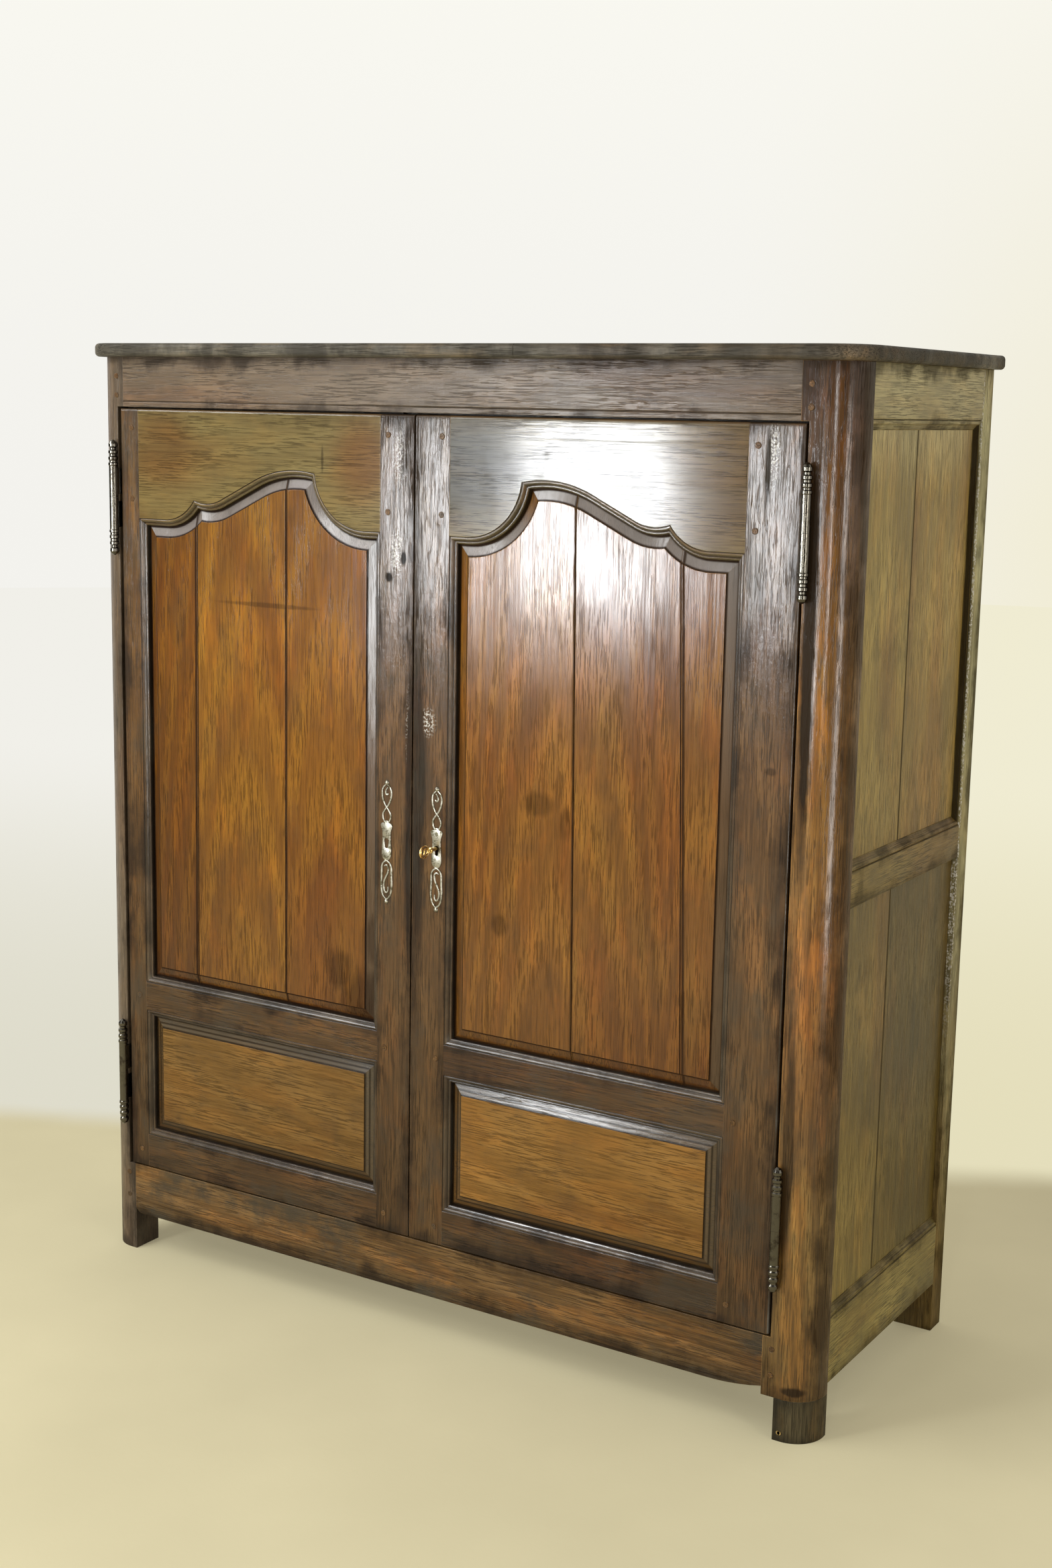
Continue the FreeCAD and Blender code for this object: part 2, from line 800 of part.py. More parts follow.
def repaired_foot(post):
    inner_cut = box(half_width - repair_width, right_post_inner - overrun,
                    front - overrun, side_y_front + overrun, -overrun, repair_height)
    end = post.common(foot_block()).cut(inner_cut)
    lowered = box(half_width, right_post_inner, front, side_y_front,
                  repair_height - repair_seam_gap, repair_height)
    end = end.cut(lowered)
    post = post.cut(foot_block())
    for x, z in repair_nail_places():
        end = end.cut(cylinder(repair_nail_radius + peg_clearance, (x, front - overrun, z), (0, 1, 0),
                               repair_nail_depth + overrun))
    return post, end


def repair_nail_places():
    x = half_width - repair_width + repair_nail_spread
    x_far = half_width - post_round_radius
    return ((x - repair_nail_spread / 2, repair_nail_height), (x_far, repair_nail_height))


def repair_nails():
    for x, z in repair_nail_places():
        head = (x, front - repair_nail_proud, z)
        add("foot_repair_nails", cylinder(repair_nail_radius, head, (0, 1, 0), repair_nail_depth))


# Doors, built with X as the distance from the meeting line towards the hinge

def circle_meeting(centre_a, radius_a, centre_b, radius_b, upper):
    # The upper or lower point where two circles cross
    dx = centre_b[0] - centre_a[0]
    dz = centre_b[1] - centre_a[1]
    span = math.hypot(dx, dz)
    along = (radius_a ** 2 - radius_b ** 2 + span ** 2) / (2 * span)
    across = math.sqrt(radius_a ** 2 - along ** 2)
    base = (centre_a[0] + along * dx / span, centre_a[1] + along * dz / span)
    one = (base[0] - across * dz / span, base[1] + across * dx / span)
    other = (base[0] + across * dz / span, base[1] - across * dx / span)
    high, low = (one, other) if one[1] > other[1] else (other, one)
    return high if upper else low


def arc_edge(centre, radius, start, end, y):
    # The shorter arc of a circle between two of its points
    a = math.atan2(start[1] - centre[1], start[0] - centre[0])
    b = math.atan2(end[1] - centre[1], end[0] - centre[0])
    turn = (b - a + math.pi) % (2 * math.pi) - math.pi
    middle = a + turn / 2
    through = Vector(centre[0] + radius * math.cos(middle), y, centre[1] + radius * math.sin(middle))
    return Part.Arc(Vector(start[0], y, start[1]), through, Vector(end[0], y, end[1])).toShape()


def arched_outline(inset, y):
    # Edge of the upper opening, moved inwards by the inset
    x0 = meeting_stile_width + inset
    x1 = hinge_line - inset
    z0 = upper_opening_foot + inset
    z1 = arch_spring - inset
    shoulder = (shoulder_x, arch_spring + shoulder_radius)
    crown = (crown_x, arch_peak - crown_radius)
    dip = (dip_x, arch_dip + dip_radius)
    tail = (tail_x, arch_spring + tail_radius)
    shoulder_r = shoulder_radius + inset
    crown_r = crown_radius - inset
    dip_r = dip_radius + inset
    tail_r = tail_radius + inset
    span = math.hypot(dip[0] - crown[0], dip[1] - crown[1])
    lean = math.atan2(dip[0] - crown[0], dip[1] - crown[1])
    slope = lean - math.acos((dip_radius + crown_radius) / span)
    normal = (math.sin(slope), math.cos(slope))
    cusp = circle_meeting(tail, tail_r, dip, dip_r, False)
    peak = circle_meeting(crown, crown_r, shoulder, shoulder_r, True)
    peak_low = circle_meeting(crown, crown_r, shoulder, shoulder_r, False)
    peak = peak if peak[0] > peak_low[0] else peak_low
    tail_end = (tail[0], z1)
    shoulder_end = (shoulder[0], z1)
    line_low = (dip[0] - dip_r * normal[0], dip[1] - dip_r * normal[1])
    line_high = (crown[0] + crown_r * normal[0], crown[1] + crown_r * normal[1])
    flat = [((x0, z0), (x1, z0)), ((x1, z0), (x1, z1)), ((x1, z1), tail_end)]
    edges = [Part.makeLine(Vector(a[0], y, a[1]), Vector(b[0], y, b[1])) for a, b in flat]
    edges.append(arc_edge(tail, tail_r, tail_end, cusp, y))
    edges.append(arc_edge(dip, dip_r, cusp, line_low, y))
    slope_ends = [Vector(point[0], y, point[1]) for point in (line_low, line_high)]
    edges.append(Part.makeLine(*slope_ends))
    edges.append(arc_edge(crown, crown_r, line_high, peak, y))
    edges.append(arc_edge(shoulder, shoulder_r, peak, shoulder_end, y))
    edges.append(Part.makeLine(Vector(shoulder_end[0], y, z1), Vector(x0, y, z1)))
    edges.append(Part.makeLine(Vector(x0, y, z1), Vector(x0, y, z0)))
    return Part.Wire(edges)


def plain_outline(inset, y):
    # Edge of the lower opening, moved inwards by the inset
    x0 = meeting_stile_width + inset
    x1 = hinge_line - inset
    z0 = lower_opening_foot + inset
    z1 = lower_opening_head - inset
    corners = [Vector(x0, y, z0), Vector(x1, y, z0), Vector(x1, y, z1), Vector(x0, y, z1)]
    return Part.makePolygon(corners + corners[:1])


def moulded_opening(outline):
    wires = [outline(0, front - overrun)]
    for inset, depth in door_moulding_shares:
        wires.append(outline(inset * moulding_width, front + depth * moulding_width))
    wires.append(outline(moulding_width, front + door_thickness + overrun))
    return lofted(wires)


def door_panel(outline):
    # A fielded panel: tongue, sloping border and raised field
    tongue_inset = -groove_depth + tongue_clearance
    y_tongue = front + door_tongue_depth
    y_back = y_tongue + door_tongue_thickness
    tongue = Part.Face(outline(tongue_inset, y_tongue)).extrude(Vector(0, door_tongue_thickness, 0))
    slope_start = moulding_width + face_clearance
    y_field = front + field_front_depth
    field = lofted([
        outline(slope_start, y_back),
        outline(slope_start, y_tongue),
        outline(field_border, y_field + field_step_height),
        outline(field_border, y_field),
    ])
    return tongue.fuse(field).removeSplitter()


def panel_groove(outline):
    y0 = front + door_tongue_depth - face_clearance
    depth = door_tongue_thickness + 2 * face_clearance
    return Part.Face(outline(-groove_depth, y0)).extrude(Vector(0, depth, 0))


door_openings = ((lower_opening_foot, lower_opening_head), (upper_opening_foot, arch_spring))


def stile_region(shoulder, outer, inward):
    # A stile with its mitred share of the mouldings
    points = [(outer, door_foot), (shoulder, door_foot)]
    for low, high in door_openings:
        points.append((shoulder, low))
        points.append((shoulder + inward * moulding_width, low + moulding_width))
        points.append((shoulder + inward * moulding_width, high - moulding_width))
        points.append((shoulder, high))
    points += [(shoulder, door_head), (outer, door_head)]
    return plate_xz(points, front, front + door_thickness)


def door_plate(width):
    edge = meeting_gap / 2
    plate = box(edge, width, front, front + door_thickness, door_foot, door_head)
    front_edges = [e for e in plate.Edges if abs(e.CenterOfMass.y - front) < overrun]
    worn = [e for e in front_edges
            if e.CenterOfMass.x > width - overrun or e.CenterOfMass.z > door_head - overrun]
    plate = plate.makeFillet(door_edge_radius, worn)
    for outline in (arched_outline, plain_outline):
        plate = plate.cut(moulded_opening(outline)).cut(panel_groove(outline))
    return plate


def door_tenons(clearance):
    # Tenons of the three rails into both stiles, as one shape
    y0 = front + door_tongue_depth - face_clearance - clearance
    y1 = front + door_tongue_depth + door_tongue_thickness + face_clearance + clearance
    reach = tenon_length + clearance
    rails = (
        (door_foot, lower_opening_foot),
        (lower_opening_head, upper_opening_foot),
        (arch_spring, door_head),
    )
    tenons = None
    for low, high in rails:
        z0 = low + tenon_shoulder_width - clearance
        z1 = high - tenon_shoulder_width + clearance
        ends = ((meeting_stile_width - reach, meeting_stile_width), (hinge_line, hinge_line + reach))
        for x0, x1 in ends:
            piece = box(x0, x1, y0, y1, z0, z1)
            tenons = piece if tenons is None else tenons.fuse(piece)
    return tenons


def door_peg_places():
    places = []
    for low, high in ((door_foot, lower_opening_foot), (lower_opening_head, upper_opening_foot)):
        for x in (meeting_stile_width - peg_inset, hinge_line + peg_inset):
            places.append((x, (low + high) / 2))
    for x in (meeting_stile_width - peg_inset, hinge_line + peg_inset):
        for z in (arch_spring + 2 * peg_edge_inset, door_head - 2 * peg_edge_inset):
            places.append((x, z))
    return places


def door_peg(x, z, radius):
    return cylinder(radius, (x, front - peg_proud, z), (0, 1, 0), door_thickness)


upper_joint_shares = {"left": ((0.755, 0.77), (0.385, 0.39)), "right": ((0.438, 0.465), (0.785, 0.845))}


def panel_planks(panel, name, upper):
    # Split a panel along its plank joints, which lean a little
    if not upper:
        return [panel]
    z0 = upper_opening_foot - groove_depth
    z1 = arch_peak + groove_depth
    y0 = front + field_front_depth
    y1 = front + door_thickness
    half = plank_gap / 2
    vee = plank_vee_width / 2
    for high_share, low_share in upper_joint_shares[name]:
        low = meeting_stile_width + low_share * panel_opening_width
        high = meeting_stile_width + high_share * panel_opening_width
        slit = plate_xz([(low - half, z0), (low + half, z0), (high + half, z1), (high - half, z1)],
                        y0 - overrun, y1)
        mouth = lofted([
            vee_outline(low, high, z0, z1, vee, y0),
            vee_outline(low, high, z0, z1, half, y0 + vee),
        ])
        panel = panel.cut(slit).cut(mouth)
    return panel.Solids


def vee_outline(low, high, z0, z1, half, y):
    corners = [Vector(low - half, y, z0), Vector(low + half, y, z0),
               Vector(high + half, y, z1), Vector(high - half, y, z1)]
    return Part.makePolygon(corners + corners[:1])


def escutcheon_disc(x, z, radius, before, after):
    start = (escutcheon_inset + x, front - before, escutcheon_height + z)
    return cylinder(radius, start, (0, 1, 0), before + after)


def escutcheon_shape():
    # A shield round the keyhole, a stem above and below it, and pairs of loops
    thick = escutcheon_thickness
    width = escutcheon_width
    length = escutcheon_length
    x = escutcheon_inset
    z = escutcheon_height
    stem = escutcheon_stem_share * width / 2
    plate = box(x - stem, x + stem, front - thick, front, z - length / 2, z + length / 2)
    neck = shield_neck_share * width
    shield = box(x - neck, x + neck, front - thick, front, z + shield_foot_share * length,
                 z + shield_top_share * length)
    ear = shield_ear_share * width
    ears = []
    for height in (shield_foot_share * length + ear, shield_top_share * length - ear):
        for sign in (-1, 1):
            ears.append(escutcheon_disc(sign * (width / 2 - ear), height, ear, thick, 0))
            ears.append(box(x, x + sign * (width / 2 - ear), front - thick, front,
                            z + height - ear / 2, z + height + ear / 2))
    for share in (-escutcheon_nail_share, escutcheon_nail_share):
        ears.append(escutcheon_disc(0, share * length, 2 * escutcheon_nail_radius, thick, 0))
    rings = []
    holes = []
    for height, offset, radius in escutcheon_loop_shares:
        for sign in (-1, 1):
            place = (sign * offset * width, height * length)
            outer = radius * width
            inner = outer - escutcheon_wire_share * width
            rings.append(escutcheon_disc(*place, outer, thick, 0))
            holes.append(escutcheon_disc(*place, inner, thick + overrun, overrun))
    open_work = rings[0].fuse(rings[1:])
    for hole in holes:
        open_work = open_work.cut(hole)
    plate = plate.fuse([shield, open_work] + ears)
    plate = plate.cut(keyhole(thick + overrun, overrun))
    for nail_x, nail_z in escutcheon_nail_places():
        plate = plate.cut(cylinder(escutcheon_nail_radius + peg_clearance,
                                   (nail_x, front - thick - overrun, nail_z), (0, 1, 0),
                                   thick + 2 * overrun))
    return plate.removeSplitter()


def keyhole(before, after):
    x = escutcheon_inset
    round_part = cylinder(keyhole_radius, (x, front - before, key_height), (0, 1, 0), before + after)
    slot = box(x - keyhole_slot_width / 2, x + keyhole_slot_width / 2, front - before, front + after,
               key_height - keyhole_drop_length, key_height)
    return round_part.fuse(slot)


def escutcheon_nail_places():
    reach = escutcheon_nail_share * escutcheon_length
    return [(escutcheon_inset, escutcheon_height + sign * reach) for sign in (-1, 1)]


def escutcheon_nail(x, z, clearance):
    start = (x, front - escutcheon_nail_proud, z)
    length = escutcheon_nail_depth + escutcheon_nail_proud
    return cylinder(escutcheon_nail_radius + clearance, start, (0, 1, 0), length)


def door(name, width, side):
    # Side is the world direction from the meeting line to the hinge
    def place(node, shape):
        if side < 0:
            shape = mirrored(shape)
        shape.translate(Vector(meeting_offset, 0, 0))
        add("door_" + name + "_" + node, shape)

    edge = meeting_gap / 2
    plate = door_plate(width)
    meeting = stile_region(meeting_stile_width, edge, 1)
    hinge = stile_region(hinge_line, width, -1)
    between = box(meeting_stile_width, hinge_line, front, front + door_thickness, door_foot, door_head)
    pegs = door_peg_places()
    mortises = door_tenons(mortise_clearance)
    holes = [door_peg(x, z, peg_radius + peg_clearance) for x, z in pegs]
    holes += [escutcheon_nail(x, z, peg_clearance) for x, z in escutcheon_nail_places()]
    meeting_piece = plate.common(meeting).cut(mortises)
    hinge_piece = plate.common(hinge).cut(mortises)
    if name == "right":
        meeting_piece = meeting_piece.cut(keyhole(overrun, door_thickness + overrun))
    for z in hinge_heights:
        hinge_piece = hinge_piece.cut(hinge_leaf(width + hinge_gap, z, 1, -1, leaf_clearance))
    rails = plate.common(between).cut(meeting).cut(hinge)
    lower_middle = (lower_opening_foot + lower_opening_head) / 2
    upper_middle = (upper_opening_foot + arch_spring) / 2
    spans = {
        "bottom_rail": (door_foot, lower_middle),
        "mid_rail": (lower_middle, upper_middle),
        "top_rail": (upper_middle, door_head),
    }
    tenons = door_tenons(0)
    pieces = {"meeting_stile": meeting_piece, "hinge_stile": hinge_piece}
    for node, (low, high) in spans.items():
        region = box(0, width, front, front + door_thickness, low, high)
        pieces[node] = rails.common(region).fuse(tenons.common(region)).removeSplitter()
    for node, piece in pieces.items():
        for hole in holes:
            piece = piece.cut(hole)
        place(node, piece)
    for node, outline in (("upper_panel", arched_outline), ("lower_panel", plain_outline)):
        for plank in panel_planks(door_panel(outline), name, node == "upper_panel"):
            place(node, plank)
    for x, z in pegs:
        place("pegs", door_peg(x, z, peg_radius))
    place("escutcheon", escutcheon_shape())
    for x, z in escutcheon_nail_places():
        place("escutcheon", escutcheon_nail(x, z, 0))
    for z in hinge_heights:
        place("hinge_sockets", hinge_half(width + hinge_gap, z, 1))


# Barrel hinges: the upper half rides on the door, the lower half on the post

def hinge_half(opening_x, z, end):
    # End is 1 for the door's half above the split and -1 for the post's half below
    x = opening_x + hinge_axis_out_offset
    y = front - hinge_axis_forward_offset
    profile = [(hinge_barrel_radius, hinge_split_gap / 2)]
    for height, radius in hinge_turning_shares:
        profile.append((radius * hinge_ring_radius, height * hinge_half_length))
    half = turned(profile, (x, y, z), end)
    leaf_side = -1 if end > 0 else 1
    half = half.fuse(hinge_leaf(opening_x, z, end, leaf_side, 0)).removeSplitter()
    pin_base = z - hinge_half_length / 2
    if end > 0:
        bore = cylinder(hinge_pin_radius + hinge_pin_clearance, (x, y, z - overrun), (0, 0, 1),
                        hinge_pin_length + hinge_pin_end_gap + overrun)
        return half.cut(bore)
    pin = cylinder(hinge_pin_radius, (x, y, pin_base), (0, 0, 1), z + hinge_pin_length - pin_base)
    return half.fuse(pin).removeSplitter()


def hinge_leaf(opening_x, z, end, leaf_side, clearance):
    # A bent leaf: a neck in the gap beside the door and a tongue into the wood
    y_axis = front - hinge_axis_forward_offset
    y_tongue = front + hinge_leaf_depth
    z0 = z + end * hinge_leaf_lift_height
    z1 = z0 + end * hinge_leaf_height
    low, high = min(z0, z1) - clearance, max(z0, z1) + clearance
    if leaf_side < 0:
        edge = opening_x - hinge_gap
        neck = box(edge, edge + hinge_leaf_thickness, y_axis, y_tongue, low, high)
    else:
        edge = opening_x
        neck = box(edge, edge - hinge_leaf_thickness, y_axis, y_tongue, low, high)
    tongue_end = edge + leaf_side * (hinge_leaf_reach + clearance)
    tongue = box(edge - leaf_side * hinge_leaf_thickness, tongue_end,
                 y_tongue - hinge_leaf_thickness - clearance, y_tongue + clearance, low, high)
    return neck.fuse(tongue)


def post_hinges(name, side):
    opening_distance = abs((right_opening if side > 0 else left_opening) - meeting_offset)
    leaves = []
    for z in hinge_heights:
        half = hinge_half(opening_distance, z, -1)
        leaf = hinge_leaf(opening_distance, z, -1, 1, leaf_clearance)
        if side < 0:
            half = mirrored(half)
            leaf = mirrored(leaf)
        half.translate(Vector(meeting_offset, 0, 0))
        leaf.translate(Vector(meeting_offset, 0, 0))
        add("post_" + name + "_hinge_pintles", half)
        leaves.append(leaf)
    return leaves


# Rim lock on the back of the right door

def lock_pieces():
    x0 = meeting_offset + lock_inset
    x1 = x0 + lock_width
    y0 = front + door_thickness
    y1 = y0 + lock_depth
    z0 = key_height - lock_height / 2 + bolt_rise_height / 2
    z1 = z0 + lock_height
    key_x = meeting_offset + escutcheon_inset
    sheet = lock_sheet_thickness
    case = box(x0, x1, y0, y1, z0, z1)
    case = case.cut(box(x0 + sheet, x1 - sheet, y0 + sheet, y1 - sheet, z0 + sheet, z1 - sheet))
    bolt_z = key_height + bolt_rise_height
    bolt_y = y0 + sheet + bolt_clearance
    bolt_back = bolt_y + bolt_thickness + bolt_clearance
    gate = box(x0 - overrun, x0 + 2 * sheet, bolt_y - bolt_clearance, bolt_back,
               bolt_z - bolt_height / 2 - bolt_clearance, bolt_z + bolt_height / 2 + bolt_clearance)
    bore = cylinder(key_shaft_radius + key_clearance, (key_x, y0, key_height), (0, 1, 0), lock_depth)
    slot_half = key_bit_thickness / 2 + bolt_clearance
    slot = box(key_x - slot_half, key_x + slot_half, y0, y0 + sheet,
               key_height - key_bit_reach - bolt_clearance, key_height)
    case = case.cut(gate).cut(bore).cut(slot)
    ledge_z = bolt_z - bolt_height / 2 - bolt_clearance
    ledge = box(x0 + sheet, x1 - sheet, y0 + sheet, y0 + sheet + bolt_thickness, ledge_z - sheet, ledge_z)
    add("lock_case", case.fuse(ledge).removeSplitter())
    bolt_x = x0 + bolt_draw_back_gap
    bolt = box(bolt_x, bolt_x + bolt_length, bolt_y, bolt_y + bolt_thickness,
               bolt_z - bolt_height / 2, bolt_z + bolt_height / 2)
    add("lock_bolt", bolt)
    add("key", key_solid(key_x, y1))
    keeper_x1 = meeting_offset - lock_inset
    keeper_x0 = keeper_x1 - keeper_width
    inner_height = bolt_height / 2 + bolt_clearance
    outer_height = inner_height + keeper_sheet_thickness
    flange_height = outer_height + keeper_flange_height
    outer = box(keeper_x0, keeper_x1, y0, bolt_back + keeper_sheet_thickness,
                bolt_z - outer_height, bolt_z + outer_height)
    hollow = box(keeper_x0 - overrun, keeper_x1 + overrun, y0 - overrun, bolt_back,
                 bolt_z - inner_height, bolt_z + inner_height)
    flanges = box(keeper_x0, keeper_x1, y0, y0 + keeper_sheet_thickness,
                  bolt_z - flange_height, bolt_z + flange_height).cut(hollow)
    add("lock_keeper", outer.cut(hollow).fuse(flanges).removeSplitter())


def key_solid(x, y_back):
    y_front = front - key_reach_length
    shaft_start = y_front + 2 * key_bow_radius - key_bow_wire_width
    shaft = cylinder(key_shaft_radius, (x, shaft_start, key_height), (0, 1, 0), y_back - shaft_start)
    collar_y = front - key_collar_gap - key_collar_length
    collar = cylinder(key_collar_radius, (x, collar_y, key_height), (0, 1, 0), key_collar_length)
    y0 = front + door_thickness + lock_sheet_thickness + key_bit_gap
    bit = box(x - key_bit_thickness / 2, x + key_bit_thickness / 2, y0, y0 + key_bit_length,
              key_height - key_bit_reach, key_height)
    bow_y = y_front + key_bow_radius
    bow_start = (x - key_bow_thickness / 2, bow_y, key_height)
    ring = cylinder(key_bow_radius, bow_start, (1, 0, 0), key_bow_thickness)
    hole = cylinder(key_bow_radius - 2 * key_bow_wire_width, bow_start, (1, 0, 0), key_bow_thickness)
    return ring.cut(hole).fuse([shaft, collar, bit]).removeSplitter()


# Flat bolts that hold the left door

def door_bolt(name, z_end, direction):
    # Direction is 1 for the bolt that slides up and -1 for the one that slides down
    x = meeting_offset - slide_inset
    y0 = front + door_thickness
    y_bolt = y0 + slide_plate_thickness + slide_clearance
    z_tip = z_end - direction * slide_end_gap
    z_tail = z_tip - direction * slide_length
    bolt = box(x - slide_width / 2, x + slide_width / 2, y_bolt, y_bolt + slide_thickness, z_tip, z_tail)
    z_knob = (z_tip + z_tail) / 2
    knob_start = (x, y_bolt + slide_thickness / 2, z_knob)
    knob = cylinder(slide_knob_radius, knob_start, (0, 1, 0), slide_knob_length)
    add(name + "_bolt", bolt.fuse(knob).removeSplitter())
    half = slide_plate_width / 2
    z_a = z_tip - direction * slide_plate_margin_length
    z_b = z_tail + direction * slide_plate_margin_length
    plate = box(x - half, x + half, y0, y0 + slide_plate_thickness, z_a, z_b)
    inner = slide_width / 2 + slide_clearance
    y_strap = y_bolt + slide_thickness + slide_clearance
    for z_strap in (z_a, z_b + direction * slide_strap_height):
        z_other = z_strap - direction * slide_strap_height
        strap = box(x - half, x + half, y0, y_strap + slide_strap_thickness, z_strap, z_other)
        tunnel = box(x - inner, x + inner, y0 + slide_plate_thickness, y_strap,
                     z_strap + direction * overrun, z_other - direction * overrun)
        plate = plate.fuse(strap.cut(tunnel))
    add("door_bolt_plates", plate.removeSplitter())


def carcass():
    left_leaves = post_hinges("left", -1)
    right_leaves = post_hinges("right", 1)
    left = front_post(-1, left_post_face_width)
    right = front_post(1, right_post_face_width)
    for leaf in left_leaves:
        left = left.cut(leaf)
    for leaf in right_leaves:
        right = right.cut(leaf)
    right, foot = repaired_foot(right)
    add("front_post_left", left)
    add("front_post_right", right)
    add("front_foot_repair", foot)
    repair_nails()
    for side, name in ((-1, "left"), (1, "right")):
        add("rear_post_" + name, rear_post(side))
        for rail in side_rails:
            add("side_" + name + "_" + rail + "_rail", side_rail(side, rail))
        for plank in side_panel(side, side_mid_rail_head + side_moulding_width,
                                side_top_rail_foot - side_moulding_width,
                                rear_post_front - side_moulding_width, side_upper_joint_share):
            add("side_" + name + "_upper_panel", plank)
        for plank in side_panel(side, side_bottom_rail_head + side_moulding_width,
                                side_mid_rail_foot_height, rear_post_front, side_lower_joint_share):
            add("side_" + name + "_lower_panel", plank)
    add("front_top_rail", front_top_rail())
    add("front_bottom_rail", front_bottom_rail())
    for x, z in peg_places:
        add("frame_pegs", peg_y(x, z))
    add("back_top_rail", back_rail(*back_rails[0]))
    add("back_bottom_rail", back_rail(*back_rails[1]))
    back_boards()
    floor_and_shelves()
    top_boards()


def main():
    carcass()
    door("left", left_door_width, -1)
    door("right", right_door_width, 1)
    lock_pieces()
    door_bolt("upper", opening_top - stop_lap_width, 1)
    door_bolt("lower", opening_bottom + stop_lap_width, -1)
    os.makedirs("parts", exist_ok=True)
    for node, shapes in parts.items():
        solids = [solid for shape in shapes for solid in shape.Solids]
        whole = solids[0] if len(solids) == 1 else Part.makeCompound(solids)
        whole.exportStep("parts/" + node + ".step")
        print(node, len(solids), "solids", round(whole.Volume), whole.isValid())
    print(len(parts), "nodes")


main()
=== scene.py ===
# %% [markdown]
# # A low oak cabinet with two doors
#
# The cabinet is a joined frame of dark waxed oak with two doors on long iron
# hinges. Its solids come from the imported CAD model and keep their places, so this
# lesson is about what the eye adds to them: the camera, the light, the look of old
# waxed oak, and the small metal pieces that a CAD model leaves plain.

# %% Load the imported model
import json
import math

import bmesh
import bpy
from mathutils import Matrix, Vector

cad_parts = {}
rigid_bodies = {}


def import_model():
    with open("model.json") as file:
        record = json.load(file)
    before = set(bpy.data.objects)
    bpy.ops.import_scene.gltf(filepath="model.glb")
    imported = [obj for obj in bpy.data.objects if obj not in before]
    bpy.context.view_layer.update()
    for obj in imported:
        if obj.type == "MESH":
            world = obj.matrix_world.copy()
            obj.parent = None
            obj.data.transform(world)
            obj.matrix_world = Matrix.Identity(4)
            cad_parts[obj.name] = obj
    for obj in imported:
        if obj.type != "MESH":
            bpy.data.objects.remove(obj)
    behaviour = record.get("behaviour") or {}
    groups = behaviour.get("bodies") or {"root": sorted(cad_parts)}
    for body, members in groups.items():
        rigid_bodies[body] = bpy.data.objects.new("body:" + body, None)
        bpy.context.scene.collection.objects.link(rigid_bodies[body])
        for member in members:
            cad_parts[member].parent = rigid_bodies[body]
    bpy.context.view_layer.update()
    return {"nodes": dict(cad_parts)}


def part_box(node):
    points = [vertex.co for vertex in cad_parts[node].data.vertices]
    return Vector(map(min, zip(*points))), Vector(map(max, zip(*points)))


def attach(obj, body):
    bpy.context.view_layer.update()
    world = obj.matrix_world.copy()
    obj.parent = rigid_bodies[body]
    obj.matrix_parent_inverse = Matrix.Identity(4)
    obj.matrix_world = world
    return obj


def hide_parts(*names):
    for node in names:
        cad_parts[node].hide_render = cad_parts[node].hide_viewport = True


for leftover in list(bpy.data.objects):
    bpy.data.objects.remove(leftover)
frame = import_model()
scene = bpy.context.scene
print("nodes loaded:", len(frame["nodes"]))

# %% [markdown]
# ## The camera
#
# The photograph was taken from the front right, a little below the height of the
# top, with the camera held a degree out of level. A camera needs a place, a
# direction and a roll. We could aim it at an empty with a constraint, but three
# numbers for the direction and one for the roll say the same and stay readable.

# %% Place the camera
camera_place = Vector((1.8380, -2.9184, 1.5306))
camera_direction = Vector((-0.51831, 0.83610, -0.17970)).normalized()
camera_roll = math.radians(1.07)
camera_lens = 47.52

level_right = camera_direction.cross(Vector((0.0, 0.0, 1.0))).normalized()
level_up = level_right.cross(camera_direction)
right = level_right * math.cos(camera_roll) + level_up * math.sin(camera_roll)
up = right.cross(camera_direction)
turn = Matrix((right, up, -camera_direction)).transposed().to_4x4()

lens = bpy.data.cameras.new("camera")
lens.sensor_fit = "VERTICAL"
lens.sensor_height = 36.0
lens.lens = camera_lens
lens.clip_end = 60.0
camera = bpy.data.objects.new("camera", lens)
camera.matrix_world = Matrix.Translation(camera_place) @ turn
scene.collection.objects.link(camera)
scene.camera = camera
scene.view_settings.view_transform = "Standard"
print("camera looks along", tuple(round(part, 3) for part in camera_direction))

# %% [markdown]
# ## Building materials node by node
#
# Every finish below is a small tree of shader nodes. Adding nodes by hand takes
# four lines each, so one helper class keeps a tree and gives each common step a
# short name: a sum, a blend of two colours, a smooth step, a row of colour stops.
# The same class serves the materials and the world.

